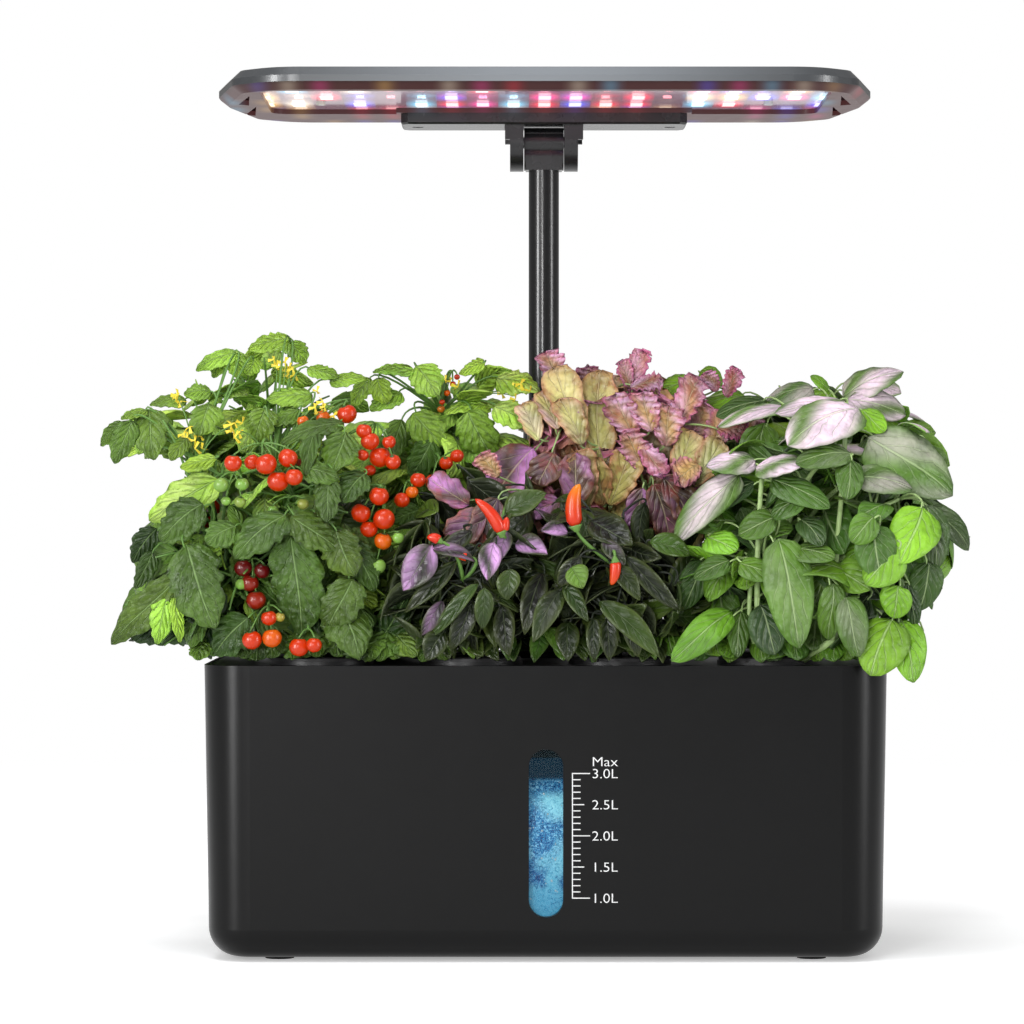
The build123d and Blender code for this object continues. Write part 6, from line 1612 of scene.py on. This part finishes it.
# Rows as shaped_leaves takes them
BASIL_FRONT_LEAVES = [
    (844, 400, 903, 371, 26, -30, 50, 0.5, 0.75), (848, 398, 905, 417, 28, -36, 45, 0.45, 0.8),
    (842, 400, 776, 415, 17, -40, 50, 0.5, 0.95), (859, 409, 789, 447, 44, -52, 40, 0.5, 1.0),
    (815, 390, 766, 400, 18, -26, 50, 0.4, 0.3), (829, 391, 810, 377, 9, -24, 40, 0.8, 0),
    (766, 400, 717, 418, 18, -30, 45, 0.25, 0), (786, 409, 718, 427, 12, -40, 50, 0.6, 0.85),
    (862, 410, 885, 432, 22, -46, 35, 1.0, 0), (871, 434, 951, 498, 56, -50, 30, 0.56, 0.3),
    (854, 480, 912, 488, 25, -60, 40, 0.38, 0.25), (736, 472, 679, 545, 30, -66, 30, 0.5, 0.65),
    (755, 460, 706, 466, 22, -64, 45, 0.5, 0.95), (757, 466, 803, 466, 24, -66, 45, 0.5, 1.0),
    (755, 484, 686, 527, 22, -60, 25, 0.15, 0), (775, 518, 738, 534, 24, -76, 30, 0.42, 0),
    (805, 499, 771, 515, 21, -74, 35, 0.4, 0), (774, 477, 828, 510, 25, -72, 30, 0.35, 0),
    (740, 562, 777, 578, 21, -82, 35, 0.5, 0), (730, 562, 693, 578, 19, -80, 35, 0.35, 0),
    (852, 456, 795, 462, 22, -62, 40, 0.4, 0.05), (852, 460, 844, 499, 25, -62, 20, 0.38, 0),
    (773, 540, 804, 647, 44, -88, 10, 0.5, 0.05), (796, 547, 834, 560, 21, -80, 35, 0.45, 0),
    (875, 518, 850, 541, 25, -80, 25, 0.5, 0), (873, 526, 883, 579, 37, -82, 15, 0.36, 0),
    (921, 507, 899, 565, 44, -62, 20, 0.98, 0), (900, 549, 864, 583, 36, -70, 25, 0.82, 0),
    (900, 586, 892, 618, 28, -66, 15, 0.98, 0), (924, 506, 938, 569, 28, -46, 15, 0.25, 0.05),
    (929, 507, 967, 552, 22, -44, 25, 0.25, 0.05), (927, 562, 921, 611, 30, -50, 12, 0.22, 0),
    (910, 584, 913, 626, 15, -52, 10, 0.12, 0), (830, 584, 831, 640, 24, -86, 10, 0.42, 0),
    (844, 598, 862, 656, 28, -86, 12, 0.4, 0.1), (893, 620, 871, 676, 46, -84, 15, 0.8, 0),
    (899, 621, 916, 682, 32, -80, 12, 0.95, 0), (735, 615, 669, 658, 28, -84, 25, 0.72, 0),
    (758, 606, 777, 654, 34, -78, 12, 0.12, 0), (742, 612, 737, 658, 20, -76, 10, 0.3, 0),
    (700, 560, 686, 610, 26, -60, 15, 0.2, 0), (708, 536, 736, 552, 26, -40, 30, 0.9, 0),
    (800, 520, 822, 546, 22, -66, 20, 0.2, 0),
]
BASIL_REAR_LEAVES = [
    (692, 380, 661, 391, 21, 10, 45, 0.95, 0), (744, 395, 705, 406, 18, 8, 45, 0.95, 0),
    (700, 372, 722, 386, 18, 14, 40, 0.85, 0), (780, 388, 800, 402, 18, 10, 40, 0.5, 0.3),
]

# Bare stems: base, bend and top as the camera sees them, depth y in mm and radius
BASIL_STEMS = [
    ((833, 640), (833, 584), (841, 500), -72, 1.5),
    ((838, 636), (845, 590), (858, 540), -68, 1.3),
    ((758, 636), (755, 560), (762, 474), -70, 1.4),
    ((752, 636), (742, 590), (768, 520), -68, 1.1),
    ((841, 500), (846, 450), (845, 402), -50, 1.3),
    ((812, 648), (810, 636), (806, 620), -56, 0.8),
    ((822, 648), (824, 636), (824, 622), -56, 0.8),
]


class GARDEN_OT_basil(bpy.types.Operator):
    """Grow the two basil plants"""
    bl_idname = "garden.basil"
    bl_label = "Basil"

    def execute(self, context):
        settings = context.scene.garden_plants
        rng = np.random.default_rng(settings.seed + 3)
        leaf, large = basil_leaf(8, 4, 0.0), basil_leaf(16, 10, 0.05)
        green = leaf_finish("basil_leaf", 4, colour(196, 220, 160), 1.2 * MM, 0.34, slant=0.6, mottle=0.5,
                            rib_share=0.42, sheen=0.34)
        stem = stalk_finish("basil_stem")
        for node, pot, share, table in (("basil_front_right", "net_pot_4", 1.0, BASIL_FRONT_LEAVES),
                                        ("basil_rear_right", "net_pot_8", 1.1, BASIL_REAR_LEAVES)):
            plant = Plant(node, pot, rng, 12, 1.8, STALK_PALE)
            fill_simple(plant, leaf, int(settings.basil_leaves * share), 19,
                        lambda h: 0.40 + 0.26 * h + 0.4 * (rng.random() < 0.16),
                        lambda h, draw: 1.0 * (h > 0.78) * (draw.random() < 0.35), 0.6, 0.35, 0.55)
            shaped_leaves(plant, large, table, wider=1.12)
            skirt(plant, leaf, 22, 13, 0.4)
            if node == "basil_front_right":
                fringe(plant, leaf, 664, 850, 20, 0.5, 11)
                for base, bend, top, depth, thick in BASIL_STEMS:
                    path = arc(*(seen(*spot, depth) for spot in (base, bend, top)), 10)
                    foot = np.array((*mix(plant.root[:2], path[0][:2], 0.4), plant.root[2]))
                    path = np.concatenate(([foot], path))
                    grow_stalk(plant.stalks, path, thick, thick * 0.7, STALK_PALE, 8)
            plant.pieces("basil_leaf", green, stem)
        return {"FINISHED"}


# ---------------------------------------------------------------- hard parts, scale and water
class GARDEN_OT_finishes(bpy.types.Operator):
    """Give every hard part its finish"""
    bl_idname = "garden.finishes"
    bl_label = "Finishes of the hard parts"

    def execute(self, context):
        finishes = hard_finishes(context.scene)
        for part in frame["record"]["subparts"]:
            finish = finishes.get(part["material_slot"])
            mesh = frame["nodes"][part["node"]].data
            if finish and len(mesh.materials):
                mesh.materials[0] = finish
            elif finish:
                mesh.materials.append(finish)
        lamp = context.scene.garden_lamp
        frame["nodes"]["lamp_lens"].data.materials[0] = light_lens("lamp_lens", lamp)
        frame["nodes"]["lamp_bezel"].data.materials[0] = lit_bezel("lamp_bezel", lamp)
        frame["nodes"]["lamp_cover"].data.materials[0] = satin_cover("lamp_cover")
        return {"FINISHED"}


WALL_LEAN = math.radians(0.95)
SCALE_X = 10.8             # of the scale's upright line, in mm
SCALE_PROUD = 0.06         # how far the ink stands out
LONG_TICK, MIDDLE_TICK, SHORT_TICK = 7.2, 4.8, 3.3
TICKS_PER_LITRE, LITRES = 10, 2
LABEL_GAP = 0.6            # from the long ticks
LABEL_WIDER, LABEL_THINNER = 1.14, 0.05
LETTER_SHARE = 0.70        # of a capital in the font's size
MAX_RISE = 4.9             # of the top label above the top tick


def wall_y(height):
    """Depth of the front wall's face at a height, in mm."""
    return TANK_LOW[1] + (TANK_HIGH[2] - height) * math.tan(WALL_LEAN)


def printed_bar(left, right, low, high):
    """A thin bar of ink on the front wall, in mm."""
    middle = (low + high) / 2
    place = ((left + right) / 2 * MM, wall_y(middle) * MM, middle * MM)
    deselect()
    bpy.ops.mesh.primitive_cube_add(size=1, location=place, rotation=(WALL_LEAN, 0, 0))
    bar = bpy.context.object
    bar.scale = ((right - left) * MM, 2 * SCALE_PROUD * MM, (high - low) * MM)
    return bar


class GARDEN_OT_scale(bpy.types.Operator):
    """Print the litre scale beside the window"""
    bl_idname = "garden.litre_scale"
    bl_label = "Litre scale"

    def execute(self, context):
        shell = context.scene.garden_shell
        half = shell.line / MM / 2
        low, high = shell.low_level / MM, shell.full_level / MM
        bars = [printed_bar(SCALE_X - half, SCALE_X + half, low - half, high + half)]
        labels = {}
        for tick in range(LITRES * TICKS_PER_LITRE + 1):
            height = low + (high - low) * tick / (LITRES * TICKS_PER_LITRE)
            long = tick % TICKS_PER_LITRE == 0
            middle = tick % (TICKS_PER_LITRE // 2) == 0
            reach = LONG_TICK if long else MIDDLE_TICK if middle else SHORT_TICK
            bars.append(printed_bar(SCALE_X, SCALE_X + reach, height - half, height + half))
            if middle:
                labels["%.1fL" % (1 + tick / TICKS_PER_LITRE)] = height
        labels["Max"] = high + MAX_RISE
        for text, height in labels.items():
            bars.append(self.label(text, SCALE_X + LONG_TICK + LABEL_GAP, height, shell.letter / MM))
        ink = print_finish("scale_ink", tuple(shell.print_colour))
        ride(joined(bars, "litre_scale", ink), "tank", "shell_black")
        return {"FINISHED"}

    def label(self, text, left, height, letter):
        """One label, its letters' middle at a height."""
        deselect()
        bpy.ops.object.text_add(location=(left * MM, wall_y(height) * MM, (height - letter / 2) * MM),
                                rotation=(math.pi / 2 + WALL_LEAN, 0, 0))
        label = bpy.context.object
        label.data.body = text
        label.data.size = letter / LETTER_SHARE * MM
        label.data.extrude = SCALE_PROUD * MM
        label.data.resolution_u = 4
        label.data.offset = -LABEL_THINNER * MM
        bpy.ops.object.convert(target="MESH")
        label = bpy.context.object
        label.scale.x = LABEL_WIDER
        label.data.materials.clear()
        bpy.ops.object.transform_apply(location=True, rotation=True, scale=True)
        return label


WATER_GAP = 0.5            # kept free between the water and the tank
FLOOR_THICKNESS = 3.0
TANK_WALL = 2.8
WATER_CORNER_R = 14
RIPPLES = ((2, 0), (3, 0.4), (9, -0.4))            # width and rise of the surface's rings, from its edge
BUBBLES = 26
BUBBLE_HALF_X, BUBBLE_DEPTHS = 6.5, (54, 1)        # how far aside, and below the surface, bubbles are
BUBBLE_R = (0.18, 0.55)


class GARDEN_OT_water(bpy.types.Operator):
    """Fill the tank with water, rippled on top, with bubbles behind the window"""
    bl_idname = "garden.water"
    bl_label = "Water"

    def execute(self, context):
        surface = context.scene.garden_shell.water_level / MM
        bottom = TANK_LOW[2] + FLOOR_THICKNESS + WATER_GAP
        inset = TANK_WALL + WATER_GAP + (TANK_HIGH[2] - bottom) * math.tan(WALL_LEAN)
        half_x, back = TANK_HIGH[0] - inset, TANK_HIGH[1] - inset
        front = box_mm("level_window")[1][1] + WATER_GAP
        deselect()
        middle = (0, (front + back) / 2 * MM, (bottom + surface) / 2 * MM)
        bpy.ops.mesh.primitive_cube_add(size=1, location=middle)
        water = bpy.context.object
        water.scale = (2 * half_x * MM, (back - front) * MM, (surface - bottom) * MM)
        bpy.ops.object.transform_apply(location=True, rotation=True, scale=True)
        self.round_edges(water)
        self.ripple(water, surface)
        water = settle(water, "water", water_finish("water", surface * MM))
        smooth(water, 40)
        ride(water, "tank", "clear_window")
        self.bubbles(surface, front)
        return {"FINISHED"}

    def round_edges(self, water):
        """Round every edge but those of the surface."""
        bpy.ops.object.mode_set(mode="EDIT")
        bpy.ops.mesh.select_all(action="DESELECT")
        bpy.ops.object.mode_set(mode="OBJECT")
        top = max(v.co.z for v in water.data.vertices)
        for edge in water.data.edges:
            ends = [water.data.vertices[i].co for i in edge.vertices]
            edge.select = not all(abs(end.z - top) < 1e-6 for end in ends)
        bpy.ops.object.mode_set(mode="EDIT")
        bpy.ops.mesh.select_mode(type="EDGE")
        bpy.ops.mesh.bevel(offset=WATER_CORNER_R * MM, segments=6, affect="EDGES")
        bpy.ops.object.mode_set(mode="OBJECT")

    def ripple(self, water, surface):
        """Divide the top face into rings that rise and fall as a small wave."""
        bpy.ops.object.mode_set(mode="EDIT")
        bpy.ops.mesh.select_all(action="DESELECT")
        bpy.ops.mesh.select_mode(type="FACE")
        bpy.ops.object.mode_set(mode="OBJECT")
        for face in water.data.polygons:
            face.select = face.normal.z > 0.99 and face.center.z > (surface - 1) * MM
        bpy.ops.object.mode_set(mode="EDIT")
        for width, rise in RIPPLES:
            bpy.ops.mesh.inset(thickness=width * MM, depth=rise * MM)
        bpy.ops.object.mode_set(mode="OBJECT")

    def bubbles(self, surface, front):
        """Small bubbles that rise just behind the window."""
        rng = np.random.default_rng(5)
        deselect()
        bpy.ops.mesh.primitive_ico_sphere_add(subdivisions=2, radius=1)
        bubble = bpy.context.object
        made = []
        for _ in range(BUBBLES):
            place = np.array((rng.uniform(-BUBBLE_HALF_X, BUBBLE_HALF_X), front - 0.2 + rng.uniform(0, 0.5),
                              rng.uniform(*(surface - depth for depth in BUBBLE_DEPTHS))))
            made.append(copied(bubble, place, rng.uniform(*BUBBLE_R), (0, 0), (0.6, 0.85, 0.95)))
        discard(bubble)
        bubbles = joined(made, "bubbles", clear("bubble_skin", colour(214, 240, 250), 0.35, 0.08))
        smooth(bubbles)
        ride(bubbles, "tank", "clear_window")


# ---------------------------------------------------------------- stage
# Lamps: name, place, target, width and height in metres, and power as a share of its setting
KEY_LAMPS = (("key", (-0.85, -2.6, 0.85), (0, 0, 0.12), 0.45, 0.45, 0.62),
             ("low", (-0.62, -3.0, 0.40), (0, 0, 0.12), 0.35, 0.25, 0.5))
TOP_LAMP = ("top", (-0.25, -0.5, 1.75), (0, 0, 0.2), 0.9, 0.7, 1.0)
TOP_SHADE = (0.96, 0.98, 1.0)
STRIPS = (("left_strip", (-1.065, -0.97, 0.20), (-0.13, -0.07, 0.06), 0.26, 1.2, 4.5),
          ("right_strip", (1.205, -0.60, 0.24), (0.13, -0.07, 0.08), 0.26, 1.2, 2.2))
FLOOR_SIZE, FLOOR_MIDDLE = 24, (0, 6, 0)
VIEW_END = 60


def area_lamp(name, place, target, width, height, share, power, shade=(1, 1, 1)):
    light = bpy.data.lights.new(name, "AREA")
    light.shape = "RECTANGLE"
    light.size, light.size_y = width, height
    light.energy = power * share
    light.color = shade
    lamp = bpy.data.objects.new(name, light)
    lamp.location = place
    lamp.rotation_euler = (Vector(target) - Vector(place)).to_track_quat("-Z", "Y").to_euler()
    bpy.context.scene.collection.objects.link(lamp)
    return lamp


class GARDEN_OT_stage(bpy.types.Operator):
    """Set up the floor, the lamps, the world and the camera"""
    bl_idname = "garden.stage"
    bl_label = "Stage"

    def execute(self, context):
        scene = context.scene
        stage = scene.garden_stage
        scene.view_settings.view_transform = "Standard"
        deselect()
        bpy.ops.mesh.primitive_plane_add(size=FLOOR_SIZE, location=FLOOR_MIDDLE)
        finish = floor_finish("floor", tuple(stage.floor_colour), stage.floor_near, stage.floor_far)
        settle(bpy.context.object, "floor", finish)
        for row in KEY_LAMPS:
            area_lamp(*row, stage.key)
        area_lamp(*TOP_LAMP, stage.top, TOP_SHADE)
        for row in STRIPS:
            area_lamp(*row, stage.side).visible_diffuse = False
        self.world(scene, stage)
        camera = bpy.data.cameras.new("camera")
        camera.sensor_width = SENSOR
        camera.lens = VIEW_FOCAL / PICTURE * SENSOR
        camera.clip_end = VIEW_END
        viewer = bpy.data.objects.new("camera", camera)
        viewer.location = (VIEW_X * MM, VIEW_Y * MM, VIEW_Z * MM)
        viewer.rotation_euler = (math.pi / 2, 0, 0)
        scene.collection.objects.link(viewer)
        scene.camera = viewer
        return {"FINISHED"}

    def world(self, scene, stage):
        """White wherever it is seen, and plain grey light elsewhere."""
        world = bpy.data.worlds.new("studio")
        world.use_nodes = True
        scene.world = world
        nodes, links = world.node_tree.nodes, world.node_tree.links
        background = nodes["Background"]
        background.inputs["Color"].default_value = (1, 1, 1, 1)
        path = nodes.new("ShaderNodeLightPath")
        shown = nodes.new("ShaderNodeMath")
        shown.operation = "MAXIMUM"
        links.new(path.outputs["Is Camera Ray"], shown.inputs[0])
        links.new(path.outputs["Is Transmission Ray"], shown.inputs[1])
        level = nodes.new("ShaderNodeMapRange")
        level.inputs["To Min"].default_value = stage.sky
        level.inputs["To Max"].default_value = 1.0
        links.new(shown.outputs[0], level.inputs["Value"])
        mirror = nodes.new("ShaderNodeMix")
        mirror.inputs["B"].default_value = stage.mirrored
        links.new(path.outputs["Is Glossy Ray"], mirror.inputs["Factor"])
        links.new(level.outputs[0], mirror.inputs["A"])
        links.new(mirror.outputs["Result"], background.inputs["Strength"])


# ---------------------------------------------------------------- panel and run
OPERATORS = (GARDEN_OT_stage, GARDEN_OT_finishes, GARDEN_OT_scale, GARDEN_OT_water, GARDEN_OT_tomatoes,
             GARDEN_OT_peppers, GARDEN_OT_lettuce, GARDEN_OT_basil)
SETTINGS = {"garden_stage": GardenStage, "garden_shell": GardenShell, "garden_lamp": GardenLamp,
            "garden_plants": GardenPlants}


class GARDEN_PT_panel(bpy.types.Panel):
    """Lists the garden's pieces and settings"""
    bl_label = "Garden"
    bl_idname = "GARDEN_PT_panel"
    bl_space_type = "VIEW_3D"
    bl_region_type = "UI"
    bl_category = "Garden"

    def draw(self, context):
        for name, group in SETTINGS.items():
            box = self.layout.box()
            for setting in group.__annotations__:
                box.prop(getattr(context.scene, name), setting)
        for operator in OPERATORS:
            self.layout.operator(operator.bl_idname)


CLASSES = (*SETTINGS.values(), *OPERATORS, GARDEN_PT_panel)


def register():
    for cls in CLASSES:
        bpy.utils.register_class(cls)
    for name, group in SETTINGS.items():
        setattr(bpy.types.Scene, name, PointerProperty(type=group))


def unregister():
    for name in SETTINGS:
        delattr(bpy.types.Scene, name)
    for cls in reversed(CLASSES):
        bpy.utils.unregister_class(cls)


def main():
    register()
    cover.mark_tables()
    for operator in OPERATORS:
        group, name = operator.bl_idname.split(".")
        getattr(getattr(bpy.ops, group), name)()


if __name__ == "__main__":
    main()
